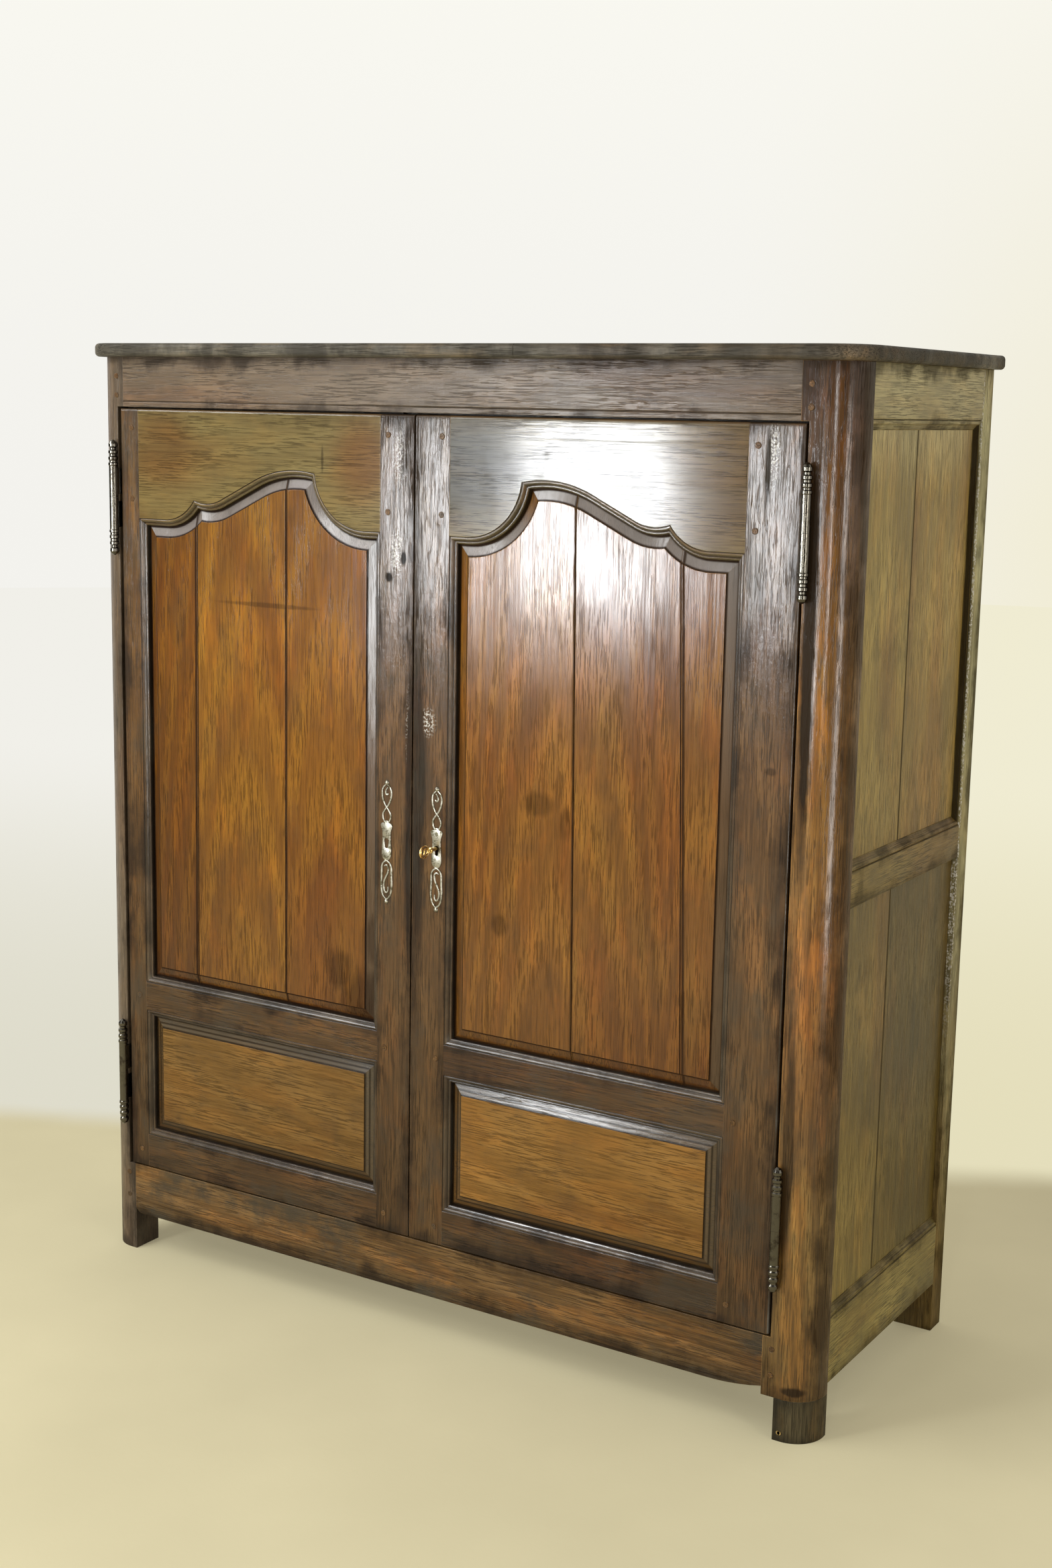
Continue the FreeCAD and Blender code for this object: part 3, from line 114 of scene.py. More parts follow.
# %% A bench for mixing finishes
class Bench:
    """A tree of shader nodes that grows one node at a time."""

    def __init__(self, owner):
        owner.use_nodes = True
        self.owner = owner
        self.tree = owner.node_tree
        self.tree.nodes.clear()

    def add(self, kind, inputs=None, **settings):
        node = self.tree.nodes.new("ShaderNode" + kind)
        node.location = (200 * (len(self.tree.nodes) - 1), 0)
        for setting, value in settings.items():
            setattr(node, setting, value)
        for socket, value in (inputs or {}).items():
            if isinstance(value, bpy.types.NodeSocket):
                self.tree.links.new(value, node.inputs[socket])
            else:
                node.inputs[socket].default_value = value
        return node

    def maths(self, operation, first, second=0.0, clamp=False):
        node = self.add("Math", {0: first, 1: second}, operation=operation, use_clamp=clamp)
        return node.outputs[0]

    def minus(self, first, second):
        return self.maths("SUBTRACT", first, second)

    def times(self, first, *others):
        for other in others:
            first = self.maths("MULTIPLY", first, other)
        return first

    def vector(self, operation, first, second):
        return self.add("VectorMath", {0: first, 1: second}, operation=operation).outputs[0]

    def dot(self, first, second):
        node = self.add("VectorMath", {0: first, 1: second}, operation="DOT_PRODUCT")
        return node.outputs["Value"]

    def length(self, vector):
        return self.add("VectorMath", {0: vector}, operation="LENGTH").outputs["Value"]

    def noise(self, place, scales, detail=3.0, roughness=0.55):
        stretched = self.vector("MULTIPLY", place, scales)
        node = self.add("TexNoise", {"Vector": stretched, "Scale": 1.0, "Detail": detail,
                                     "Roughness": roughness})
        return node.outputs[0]

    def step(self, value, low, high):
        node = self.add("MapRange", {0: value, 1: low, 2: high}, interpolation_type="SMOOTHSTEP")
        return node.outputs[0]

    def weighted(self, parts):
        """The sum of several values, each with its weight."""
        total = None
        for value, weight in parts:
            part = self.maths("MULTIPLY", value, weight)
            total = part if total is None else self.maths("ADD", total, part)
        return total

    def blend(self, share, first, second, kind="MIX"):
        """Two colours blended; a colour is a socket or three numbers."""
        first, second = [(*colour, 1.0) if isinstance(colour, tuple) else colour
                         for colour in (first, second)]
        node = self.add("Mix", {0: share, 6: first, 7: second}, data_type="RGBA", blend_type=kind)
        return node.outputs[2]

    def stops(self, value, colours):
        node = self.add("ValToRGB", {0: value})
        band = node.color_ramp
        while len(band.elements) < len(colours):
            band.elements.new(0.5)
        for element, (place, colour) in zip(band.elements, colours):
            element.position = place
            element.color = (*colour, 1.0)
        return node.outputs[0]

    def bump(self, height, distance, strength, normal=None):
        inputs = {"Height": height, "Distance": distance, "Strength": strength}
        if normal is not None:
            inputs["Normal"] = normal
        return self.add("Bump", inputs).outputs[0]

    def shade(self, shader, inputs):
        return self.add(shader, inputs).outputs[0]

    def show(self, surface, output="OutputMaterial"):
        self.add(output, {0: surface})
        return self.owner


def finish_bench(name):
    return Bench(bpy.data.materials.new(name))


# %% [markdown]
# ## The studio
#
# The photograph has an off-white wall that runs down into a pale khaki floor. A
# real wall would hide the cabinet from behind, so the wall is only a change of
# colour: past the line where it would stand, the floor disc turns off-white, and
# the world above it has the same off-white. What the camera and the mirrors see of
# the wall glows by itself, so that no lamp leaves a pool of light on it.

# %% Floor
wall_distance = 0.69
wall_direction = (-0.4093, 0.9124, 0.0)
wall_along = (0.9124, 0.4093, 0.0)
khaki_tones = ((0.3, (0.52, 0.461, 0.292)), (0.7, (0.59, 0.524, 0.334)))
wall_foot, wall_head = (0.735, 0.715, 0.600), (0.880, 0.868, 0.815)
warm_wall_foot, warm_wall_head = (0.780, 0.730, 0.500), (0.870, 0.835, 0.645)
ground_glow, ground_glow_share = 1.05, 0.36


def wall_paint(mix, place, behind):
    """The wall's colour: paler with distance, and warmer to the right of the cabinet."""
    rise = mix.step(behind, 0.7, 5.5)
    aside = mix.minus(mix.dot(place, wall_along), 0.48)
    slant = mix.maths("DIVIDE", aside, mix.maths("ADD", behind, 3.41))
    plain = mix.blend(rise, wall_foot, wall_head)
    warm = mix.blend(rise, warm_wall_foot, warm_wall_head)
    return mix.blend(mix.step(slant, -0.06, 0.10), plain, warm)


def khaki_floor():
    """Khaki ground near the cabinet, partly glowing as painted light, and wall colour beyond the line of the
    wall.
    """
    mix = finish_bench("pale_floor")
    place = mix.add("TexCoord").outputs["Object"]
    behind = mix.dot(place, wall_direction)
    cloud = mix.noise(place, (1.3, 1.3, 1.3), detail=4.0)
    grit = mix.noise(place, (90.0, 90.0, 90.0), detail=2.0)
    ground_colour = mix.stops(cloud, khaki_tones)
    wall_colour = wall_paint(mix, place, behind)

    ray = mix.add("LightPath")
    seen = mix.maths("MAXIMUM", ray.outputs["Is Camera Ray"], ray.outputs["Is Glossy Ray"])
    seen = mix.maths("MAXIMUM", seen, ray.outputs["Is Transmission Ray"])
    # Most of the ground glows about a third for camera and mirror rays, a painted light that lifts the
    # shadows on it.
    near = mix.times(mix.step(behind, -2.6, -1.6), ground_glow_share)
    ground = mix.shade("BsdfPrincipled", {"Base Color": ground_colour, "Roughness": 0.85,
                                          "Specular IOR Level": 0.2,
                                          "Normal": mix.bump(grit, 0.001, 0.2)})
    ground_seen = mix.shade("Emission", {"Color": ground_colour, "Strength": ground_glow})
    ground = mix.shade("MixShader", {0: mix.times(seen, near), 1: ground, 2: ground_seen})
    wall = mix.shade("BsdfDiffuse", {"Color": wall_colour})
    wall_seen = mix.shade("Emission", {"Color": wall_colour})
    wall = mix.shade("MixShader", {0: seen, 1: wall, 2: wall_seen})
    soft = mix.maths("ADD", behind, mix.times(cloud, 0.12))
    past = mix.step(soft, wall_distance - 0.02, wall_distance + 0.14)
    return mix.show(mix.shade("MixShader", {0: past, 1: ground, 2: wall}))


floor_radius = 14.0
disc = bmesh.new()
bmesh.ops.create_circle(disc, cap_ends=True, segments=96, radius=floor_radius)
floor_mesh = bpy.data.meshes.new("floor")
disc.to_mesh(floor_mesh)
disc.free()
floor = bpy.data.objects.new("floor", floor_mesh)
floor.data.materials.append(khaki_floor())
scene.collection.objects.link(floor)
print("floor disc radius:", floor_radius)

# %% [markdown]
# The world behind the cabinet is the same wall, and it is warmer low down on the
# right. The world in front of it is a dim room, so the doors mirror little but the
# lamps.

# %% World
wall_low, wall_high = (0.90, 0.89, 0.85), (0.965, 0.955, 0.885)
wall_warm = (0.88, 0.84, 0.66)
dim_room = (0.14, 0.130, 0.105)

world = bpy.data.worlds.new("studio")
sky = Bench(world)
direction = sky.add("TexCoord").outputs["Generated"]
split = sky.add("SeparateXYZ", {0: direction})
backward, upward = split.outputs[1], split.outputs[2]
wall_colour = sky.blend(sky.step(upward, -0.05, 0.32), wall_low, wall_high)
slant = sky.maths("DIVIDE", sky.dot(direction, wall_along), sky.dot(direction, wall_direction))
low_down = sky.add("MapRange", {0: upward, 1: 0.26, 2: -0.05}).outputs[0]
warm_share = sky.times(sky.step(slant, -0.06, 0.16), low_down)
wall_colour = sky.blend(warm_share, wall_colour, wall_warm)
room_colour = sky.blend(sky.step(backward, -0.45, 0.15), dim_room, wall_colour)
scene.world = sky.show(sky.shade("Background", {0: room_colour}), "OutputWorld")
print("world nodes:", len(sky.tree.nodes))

# %% [markdown]
# The strongest thing in the picture is the window that the right-hand door
# mirrors. A mirror shows a light where the camera's own mirror image looks, so the
# window stands to the left front, with a wider and bluer glow around it. Two long
# strips of skylight put the bright lines on the upper side of the mouldings. The
# others make the line down the round post, the shine of the meeting stiles, and
# the plain light that fills the rest.

# %% Lamps
white, daylight, warm_white = (1.0, 0.98, 0.94), (0.95, 0.98, 1.0), (1.0, 0.96, 0.88)
doors_low = (0.0, -0.24, 0.5)


def lamp(name, place, aim, size, power, colour):
    """A rectangular lamp of (width, height) at a place, turned to its aim."""
    light = bpy.data.lights.new(name, "AREA")
    light.shape = "RECTANGLE"
    light.size, light.size_y = size
    light.energy = power
    light.color = colour
    holder = bpy.data.objects.new(name, light)
    aim_direction = (Vector(aim) - Vector(place)).normalized()
    turn_to_aim = aim_direction.to_track_quat("-Z", "Y")
    holder.matrix_world = Matrix.Translation(place) @ turn_to_aim.to_matrix().to_4x4()
    scene.collection.objects.link(holder)
    print(name, "at", place)


lamp("window", (-1.27, -2.95, 1.21), (0.28, -0.25, 1.35), (0.42, 0.56), 42.0, daylight)
lamp("window_glow", (-1.74, -3.35, 1.23), (0.1, -0.25, 1.35), (0.85, 1.1), 13.0, (0.64, 0.82, 1.0))
lamp("overhead", (-1.2, -1.5, 3.5), (-0.1, -0.1, 0.6), (3.2, 2.4), 15.0, white)
lamp("skylight", (-1.65, -1.75, 2.70), doors_low, (1.8, 0.55), 50.0, daylight)
lamp("skylight_edge", (-1.65, -2.80, 2.36), doors_low, (1.8, 0.26), 30.0, daylight)
lamp("far_window", (-0.36, -4.60, 0.85), (-0.1, -0.25, 1.1), (0.46, 0.95), 38.0, (0.90, 0.96, 1.0))
lamp("doorway", (1.80, -3.95, 1.45), (0.6, -0.2, 1.0), (0.22, 1.7), 26.0, (1.0, 0.98, 0.95))
lamp("side_fill", (3.8, -0.2, 2.0), (0.6, 0.0, 0.9), (2.2, 2.2), 8.0, warm_white)
lamp("side_window", (3.22, -1.50, 0.78), (0.69, -0.22, 1.1), (0.75, 1.5), 32.0, (1.0, 0.99, 0.96))

# %% [markdown]
# ## Old waxed oak
#
# Oak shows four things at once: broad warm and cool clouds from the way a board
# was cut, long streaks along the grain, growth rings that open into pointed
# arches, and thousands of short open pores that stay dark. Noise stretched along
# the grain gives the first two and the pores. The rings are circles around a
# slightly leaning heart, cut by the board's face, so the face shows cathedral
# arches by itself.

# %% The figure of the wood
quarter_turn = math.radians(90.0)
grain_turns = {"upright": (0.0, 0.0, 0.0), "across": (0.0, quarter_turn, 0.0),
               "deep": (quarter_turn, 0.0, 0.0)}
ring_width = 0.0075
heart_spacing = 0.17
heart_lean = 0.028
figure_weights = {"tone": 0.30, "streak": 0.15, "thread": 0.27, "fine": 0.30}
ring_weight = 0.12
warm_gain, ruddy_gain = (1.8, 1.45, 1.0), (0.80, 0.56, 0.42)


def growth_rings(mix, turned, streak):
    """Rings around a leaning heart, cut by the face of the board."""
    parts = mix.add("SeparateXYZ", {0: turned})
    bend = mix.noise(turned, (3.0, 3.0, 0.8), detail=2.0)
    wobble = mix.times(mix.minus(bend, 0.5), 0.055)
    sideways = mix.maths("ADD", parts.outputs[0], wobble)
    limits = {0: sideways, 1: heart_spacing, 2: -heart_spacing}
    sideways = mix.add("Math", limits, operation="WRAP").outputs[0]
    lean = mix.maths("ADD", mix.times(parts.outputs[2], heart_lean), 0.02)
    radius = mix.length(mix.add("CombineXYZ", {0: sideways, 1: lean, 2: 0.0}).outputs[0])
    turns = mix.weighted(((radius, 2.0 * math.pi / ring_width), (streak, 6.0)))
    wave = {0: mix.maths("SINE", turns), 1: 0.5, 2: 0.5}
    return mix.add("Math", wave, operation="MULTIPLY_ADD").outputs[0]


def oak_figure(mix, turned):
    """Everything that runs along the grain, by name, each between 0 and 1."""
    streak = mix.noise(turned, (60.0, 60.0, 2.2), detail=5.0, roughness=0.65)
    ring = growth_rings(mix, turned, streak)
    pore = mix.step(mix.noise(turned, (600.0, 600.0, 26.0), detail=3.0), 0.51, 0.61)
    return {"tone": mix.noise(turned, (4.0, 4.0, 1.0), detail=4.0),
            "streak": streak,
            "thread": mix.noise(turned, (170.0, 170.0, 4.0), detail=5.0, roughness=0.7),
            "fine": mix.noise(turned, (450.0, 450.0, 12.0), detail=4.0, roughness=0.65),
            "ring": ring,
            "pore": mix.maths("MULTIPLY", pore, mix.maths("ADD", ring, 0.4), clamp=True)}


def oak_colour(mix, turned, figure, tones, ring_share, bold, orange):
    """Clean oak: the figure in three tones, warm and ruddy clouds, and dark pores."""
    dark, middle, pale = tones
    parts = [(figure[name], weight) for name, weight in figure_weights.items()]
    value = mix.weighted([*parts, (figure["ring"], ring_weight * ring_share)])
    middle_value = 0.50 + 0.06 * ring_share
    spread = 0.115 / bold
    share = mix.add("MapRange", {0: value, 1: middle_value - spread, 2: middle_value + spread}).outputs[0]
    colour = mix.stops(share, ((0.0, dark), (0.5, middle), (1.0, pale)))
    warm = mix.step(mix.noise(turned, (24.0, 24.0, 7.0), detail=5.0, roughness=0.6), 0.49, 0.62)
    colour = mix.blend(mix.times(warm, orange), colour, warm_gain, "MULTIPLY")
    pore_dark = tuple(part * 0.45 for part in dark)
    colour = mix.blend(mix.times(figure["pore"], 0.6), colour, pore_dark)
    ruddy = mix.step(mix.noise(turned, (7.0, 7.0, 2.0), detail=3.0), 0.50, 0.66)
    return mix.blend(mix.times(ruddy, 0.5), colour, ruddy_gain, "MULTIPLY")


# %% [markdown]
# A finish also has to know where on its piece a point lies: which plank, how near
# the border, how deep in a moulding, and whether it is inside a stain. A mark is
# given as across, along, half width and half length in metres, and its strength.

# %% Places on a piece
cabinet_height = 1.622
soft_limit = 0.0004


def plank_steps(mix, across, along, joints):
    """For each joint 0 or 1 as a point lies beyond it, and the dark line along the joints."""
    beyond = []
    line = None
    for low, high, foot, head in joints:
        lean = mix.times(mix.minus(along, foot), (high - low) / (head - foot))
        apart = mix.minus(mix.minus(across, low), lean)
        beyond.append(mix.maths("GREATER_THAN", apart, 0.0))
        near = mix.step(mix.maths("ABSOLUTE", apart), 0.0040, 0.0008)
        line = near if line is None else mix.maths("MAXIMUM", line, near)
    return beyond, line


def edge_distance(mix, axis, low, high, faces):
    """How far a point of a face lies from the border of its node."""
    sides = []
    for name in faces:
        number = "xyz".index(name)
        sides.append(mix.minus(axis[name], low[number]))
        sides.append(mix.minus(high[number], axis[name]))
    nearest = sides[0]
    for side in sides[1:]:
        nearest = mix.maths("MINIMUM", nearest, side)
    return nearest


def spot(mix, axis, faces, mark):
    """A soft round or long spot on a face, 1 in its middle and 0 outside."""
    across, along, half_width, half_length = mark[:4]
    one = mix.maths("DIVIDE", mix.minus(axis[faces[0]], across), half_width)
    two = mix.maths("DIVIDE", mix.minus(axis[faces[1]], along), half_length)
    flat = mix.add("CombineXYZ", {0: one, 1: two, 2: 0.0}).outputs[0]
    return mix.step(mix.length(flat), 1.0, 0.25)


def between(mix, value, low, high):
    """1 where a value lies between two limits, with soft ends."""
    return mix.times(mix.step(value, low - soft_limit, low + soft_limit),
                     mix.step(value, high + soft_limit, high - soft_limit))


def by_height(mix, axis, shades):
    """A colour that changes with the height above the floor."""
    share = mix.maths("DIVIDE", axis["z"], cabinet_height)
    return mix.stops(share, [(level / cabinet_height, shade) for level, shade in shades])


# %% [markdown]
# Wax and hands add the rest. Dirt stays where two pieces meet and in patches, and
# the nooks of a moulding get dirt and painted shade. Edges that stand out are rubbed
# paler; bevels that face the light get a painted silvery sheen, and those turned away
# painted shade. Over it all lies a thin clear coat of wax, which is dull on dirt and
# painted shade and follows the open grain only a little.

# %% Dirt, painted shade and sheen, wear and wax
shadow_brown = (0.018, 0.012, 0.007)
smoke_grey = (0.032, 0.028, 0.020)
chip_and_glint_grey = (0.46, 0.43, 0.38)
nook_reach = 0.014
grime_width = 0.026
rubbed_radius = 0.0016
wave_height = 0.0013
grain_height = 0.0004
wax_height = 0.0002


def sunk_colour(mix, colour, axis, sunk, sunk_painted_sheen, sunk_shade):
    """A sunk bevel: a painted sheen on its lit side and painted shade, shadow brown, on the other."""
    share, shades = sunk_painted_sheen[2:]
    leaning = mix.add("SeparateXYZ", {0: mix.add("TexCoord").outputs["Normal"]})
    upward = mix.weighted(((leaning.outputs[0], 1.0), (leaning.outputs[2], 2.0)))
    # Which way a face turns decides where the sheen and the shade are painted.
    lit = mix.step(upward, -0.15, 0.20)
    sheen_share = mix.times(sunk, share, lit)
    colour = mix.blend(sheen_share, colour, by_height(mix, axis, shades))
    unlit = mix.minus(sunk_shade, mix.times(lit, sunk_shade))
    return mix.blend(mix.times(sunk, unlit), colour, shadow_brown)


def wood_dirt_and_shade(mix, axis, faces, box, figure, ragged, nook, grime, marks):
    """Dirt near the border and in given marks, and dirt with painted shade in the nooks."""
    edge = edge_distance(mix, axis, *box, faces)
    edge = mix.weighted(((edge, 1.0), (mix.minus(ragged, 0.5), 0.12)))
    edge_dirt = mix.times(mix.step(edge, grime_width, -0.008), grime)
    # Occlusion darkens the nooks: dirt there, and painted shade.
    nook_dirt_and_shade = mix.times(mix.step(nook, 0.92, 0.45), 0.92)
    dirt_and_shade = mix.maths("MAXIMUM", edge_dirt, nook_dirt_and_shade)
    for mark in marks:
        strength = mark[4]
        rough_mark = mix.weighted(((spot(mix, axis, faces, mark), strength * 1.5), (ragged, strength * 1.8),
                                   (figure["thread"], strength * 1.2), (1.0, -strength * 1.75)))
        dirt_and_shade = mix.maths("MAXIMUM", dirt_and_shade, mix.maths("MINIMUM", rough_mark, strength))
    return dirt_and_shade


def worn_edges(mix, colour, rounded, nook, ragged, pale):
    """Paler wood where an edge stands out and isn't in a nook."""
    flat = mix.add("NewGeometry").outputs["Normal"]
    arris = mix.times(mix.step(mix.dot(rounded, flat), 0.985, 0.86), mix.step(nook, 0.75, 0.97))
    rub = mix.times(arris, mix.step(ragged, 0.38, 0.62))
    worn = tuple(min(1.0, 1.2 * part + 0.015) for part in pale)
    return mix.blend(mix.times(rub, 0.75), colour, worn)


def wood_relief(mix, place, turned, figure, dirt_and_shade, rounded, cupping, ripple):
    """Two surfaces: the open grain of the wood, and the smoother wax that lies over it."""
    waves = mix.weighted(((mix.noise(turned, (13.0, 13.0, 1.3), detail=2.0), 0.8),
                          (mix.noise(turned, (120.0, 120.0, 3.2), detail=2.0), 0.13)))
    waved = mix.bump(waves, wave_height, 1.0, rounded)
    if cupping is not None:
        waved = mix.bump(cupping, 1.0, 1.0, waved)
    relief = mix.weighted(((figure["thread"], 0.6), (figure["fine"], 0.4), (figure["pore"], -0.8),
                           (dirt_and_shade, 0.3)))
    grained = mix.bump(relief, grain_height, 1.0, waved)
    crazed = mix.noise(place, (190.0, 190.0, 120.0), detail=4.0, roughness=0.65)
    wax_relief = mix.weighted(((relief, 1.0), (crazed, 1.2)))
    polished = mix.bump(wax_relief, wax_height * ripple, 1.0, waved)
    return grained, polished


# %% [markdown]
# The recipe puts the steps in the order in which they happened to the wood. Tones
# are its dark, middle and pale colours, and the seed moves the figure, so that no
# two boards are alike. The other values say what the years did to one piece.

# %% The oak recipe
def oak(node, grain, tones, seed, faces="xz", wax=0.35, wax_roughness=0.13, ripple=1.0, bold=1.0, joints=(),
        plank_tones=(), heights=(), grime=0.75, patches=0.5, orange=0.5, ring_share=0.6, dull=0.0,
        shine=0.10, polish=0.0, face=0.0, sunk_painted_sheen=None, sunk_shade=0.65, sunk_dirt_and_shade=(), stains=(),
        marks=(), chip_and_glint_marks=(), cupping=0.0):
    """Old waxed oak for one node."""
    mix = finish_bench("oak_" + node)
    place = mix.add("TexCoord").outputs["Object"]
    axis = dict(zip("xyz", mix.add("SeparateXYZ", {0: place}).outputs))
    turned = mix.add("Mapping", {"Vector": place, "Rotation": grain_turns[grain],
                                 "Location": (seed * 0.37, seed * 0.53, seed * 1.31)}).outputs[0]
    beyond, joint_line = (), None
    if joints:
        beyond, joint_line = plank_steps(mix, axis[faces[0]], axis[faces[1]], joints)
        for count, passed in enumerate(beyond):
            hop = mix.vector("MULTIPLY", (0.31 + 0.17 * count, 0.23, 1.7 - 0.9 * count), passed)
            turned = mix.vector("ADD", turned, hop)

    figure = oak_figure(mix, turned)
    colour = oak_colour(mix, turned, figure, tones, ring_share, bold, orange)
    for passed, shade in zip(beyond, plank_tones):
        colour = mix.blend(passed, colour, shade, "MULTIPLY")
    if heights:
        colour = mix.blend(1.0, colour, by_height(mix, axis, heights), "MULTIPLY")
    for stain in stains:
        stained = mix.times(spot(mix, axis, faces, stain), mix.step(figure["tone"], 0.25, 0.5))
        colour = mix.blend(stained, colour, stain[4], "MULTIPLY")
    depth = mix.minus(axis["y"], face)
    sunk = 0.0
    # Painted sheen on the lit side of sunk bevels, painted shade on the other side.
    if sunk_painted_sheen:
        sunk = between(mix, depth, *sunk_painted_sheen[:2])
        colour = sunk_colour(mix, colour, axis, sunk, sunk_painted_sheen, sunk_shade)

    nook = mix.add("AmbientOcclusion", {"Distance": nook_reach}, samples=4, only_local=True).outputs["AO"]
    ragged = mix.noise(place, (13.0, 13.0, 9.0), detail=6.0, roughness=0.62)
    dirt_and_shade = wood_dirt_and_shade(mix, axis, faces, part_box(node), figure, ragged, nook, grime, marks)
    if joint_line is not None:
        dirt_and_shade = mix.maths("MAXIMUM", dirt_and_shade, mix.times(joint_line, 0.9))
    # Deep in a moulding and at a bevel's foot the wood turns nearly black: dirt and painted shade.
    for first, last in sunk_dirt_and_shade:
        dirt_and_shade = mix.maths("MAXIMUM", dirt_and_shade, mix.times(between(mix, depth, first, last), 0.96))
    # Dirt and the painted shade of nooks and deep mouldings darken to a sooty brown.
    dirt_and_shade_colour = tuple(0.20 * part + 0.002 for part in tones[0])
    colour = mix.blend(dirt_and_shade, colour, dirt_and_shade_colour)
    cloud = mix.noise(turned, (11.0, 11.0, 3.6), detail=6.0, roughness=0.65)
    smoke = mix.weighted(((ragged, 0.45), (cloud, 0.40), (figure["thread"], 0.15)))
    smoke = mix.step(smoke, 0.485, 0.60)
    colour = mix.blend(mix.times(smoke, patches), colour, smoke_grey)

    rounded = mix.add("Bevel", {"Radius": rubbed_radius}, samples=4).outputs[0]
    colour = worn_edges(mix, colour, rounded, nook, ragged, tones[2])
    speck = mix.step(mix.noise(place, (300.0, 300.0, 300.0), detail=3.0), 0.50, 0.58)
    # Pale marks: real chips on the stiles, and painted glints on the rear post's arris.
    for mark in chip_and_glint_marks:
        chip_and_glint = mix.times(spot(mix, axis, faces, mark), speck, mark[4], mix.step(dirt_and_shade, 0.8, 0.3))
        colour = mix.blend(chip_and_glint, colour, chip_and_glint_grey)

    hollow = mix.times(axis[faces[0]], cupping) if cupping else None
    grained, polished = wood_relief(mix, place, turned, figure, dirt_and_shade, rounded, hollow, ripple)
    roughness = mix.weighted(((figure["streak"], 0.22), (dirt_and_shade, 0.24), (1.0, 0.30 + dull)))
    coat = mix.weighted(((dirt_and_shade, -0.85 * wax), (figure["pore"], -0.4 * wax), (smoke, -0.3 * wax), (1.0, wax),
                         (sunk, 0.9 * polish)))
    surface = {"Base Color": colour, "Roughness": roughness, "Normal": grained, "Specular IOR Level": shine,
               "Coat Weight": mix.maths("MAXIMUM", coat, 0.0, clamp=True),
               "Coat Roughness": wax_roughness, "Coat Normal": polished}
    return mix.show(mix.shade("BsdfPrincipled", surface))


# %% [markdown]
# Each kind of piece has three tones: dark, middle and pale. The door frames are the
# darkest, and the panels, which were split from wide clear boards, have kept a
# golden brown under the wax. The sides were polished less often and have gone
# olive and dull.

# %% Tones of the oak
frame_tones = ((0.048, 0.026, 0.010), (0.125, 0.068, 0.023), (0.215, 0.124, 0.046))
frieze_tones = ((0.060, 0.039, 0.023), (0.096, 0.066, 0.040), (0.134, 0.096, 0.062))
round_tones = ((0.085, 0.042, 0.011), (0.215, 0.098, 0.020), (0.34, 0.175, 0.043))
door_tones = ((0.034, 0.018, 0.007), (0.086, 0.041, 0.012), (0.150, 0.076, 0.024))
head_tones = ((0.094, 0.056, 0.016), (0.156, 0.104, 0.032), (0.215, 0.152, 0.052))
left_panel_tones = ((0.056, 0.018, 0.002), (0.097, 0.034, 0.003), (0.139, 0.054, 0.004))
right_panel_tones = ((0.092, 0.034, 0.003), (0.170, 0.066, 0.006), (0.240, 0.106, 0.010))
low_panel_tones = ((0.079, 0.040, 0.009), (0.141, 0.073, 0.018), (0.202, 0.110, 0.031))
side_tones = ((0.096, 0.061, 0.015), (0.172, 0.112, 0.028), (0.250, 0.169, 0.046))
top_tones = ((0.060, 0.050, 0.034), (0.110, 0.092, 0.064), (0.175, 0.150, 0.108))
inside_tones = ((0.130, 0.082, 0.040), (0.200, 0.130, 0.065), (0.280, 0.190, 0.100))
repair_tones = ((0.038, 0.029, 0.014), (0.072, 0.054, 0.025), (0.115, 0.088, 0.044))


def dress(node, material):
    """Give every slot of a CAD node one finish; the node's mesh and place stay."""
    for slot in frame["nodes"][node].material_slots:
        slot.link = "OBJECT"
        slot.material = material


# %% [markdown]
# Each piece gets its own seed and what the years have done to its own place. A list
# of heights gives a shade for some heights above the floor: the round post is
# orange where hands pass and carries painted shade under the top, and the sides and
# rear posts turn paler and bluer up high, a painted sheen.

# %% Frame pieces
seeds = iter(range(1, 90))
post_heights_with_shade = ((0.08, (0.50, 0.55, 0.60)), (0.30, (0.64, 0.76, 0.90)), (0.62, (0.78, 0.78, 0.76)),
                (1.10, (0.76, 0.73, 0.66)), (1.42, (0.36, 0.31, 0.24)), (1.60, (0.17, 0.14, 0.09)))
side_heights_with_sheen = ((0.14, (1.05, 1.20, 1.35)), (0.26, (0.85, 0.86, 0.80)), (0.50, (0.72, 0.71, 0.66)),
                (0.72, (0.74, 0.72, 0.70)), (1.10, (1.10, 1.12, 1.05)), (1.42, (1.20, 1.28, 1.35)),
                (1.56, (1.75, 2.25, 4.4)))
rear_heights_with_sheen = ((0.14, (0.8, 0.9, 1.2)), (0.60, (1.15, 1.45, 2.8)), (1.10, (1.65, 2.25, 4.6)),
                (1.60, (1.85, 2.5, 5.2)))
base_heights = ((0.07, (0.36, 0.38, 0.40)), (0.11, (0.80, 0.76, 0.74)), (0.15, (0.72, 0.70, 0.68)))
post_marks = {"front_post_right": ((0.645, 1.20, 0.017, 0.46, 1.0), (0.668, 0.082, 0.030, 0.012, 0.95),
                                   (0.646, 0.45, 0.014, 0.30, 0.8)),
              "rear_post_right": ((0.2370, 1.10, 0.014, 1.2, 1.0), (0.2380, 0.35, 0.010, 0.40, 0.9))}
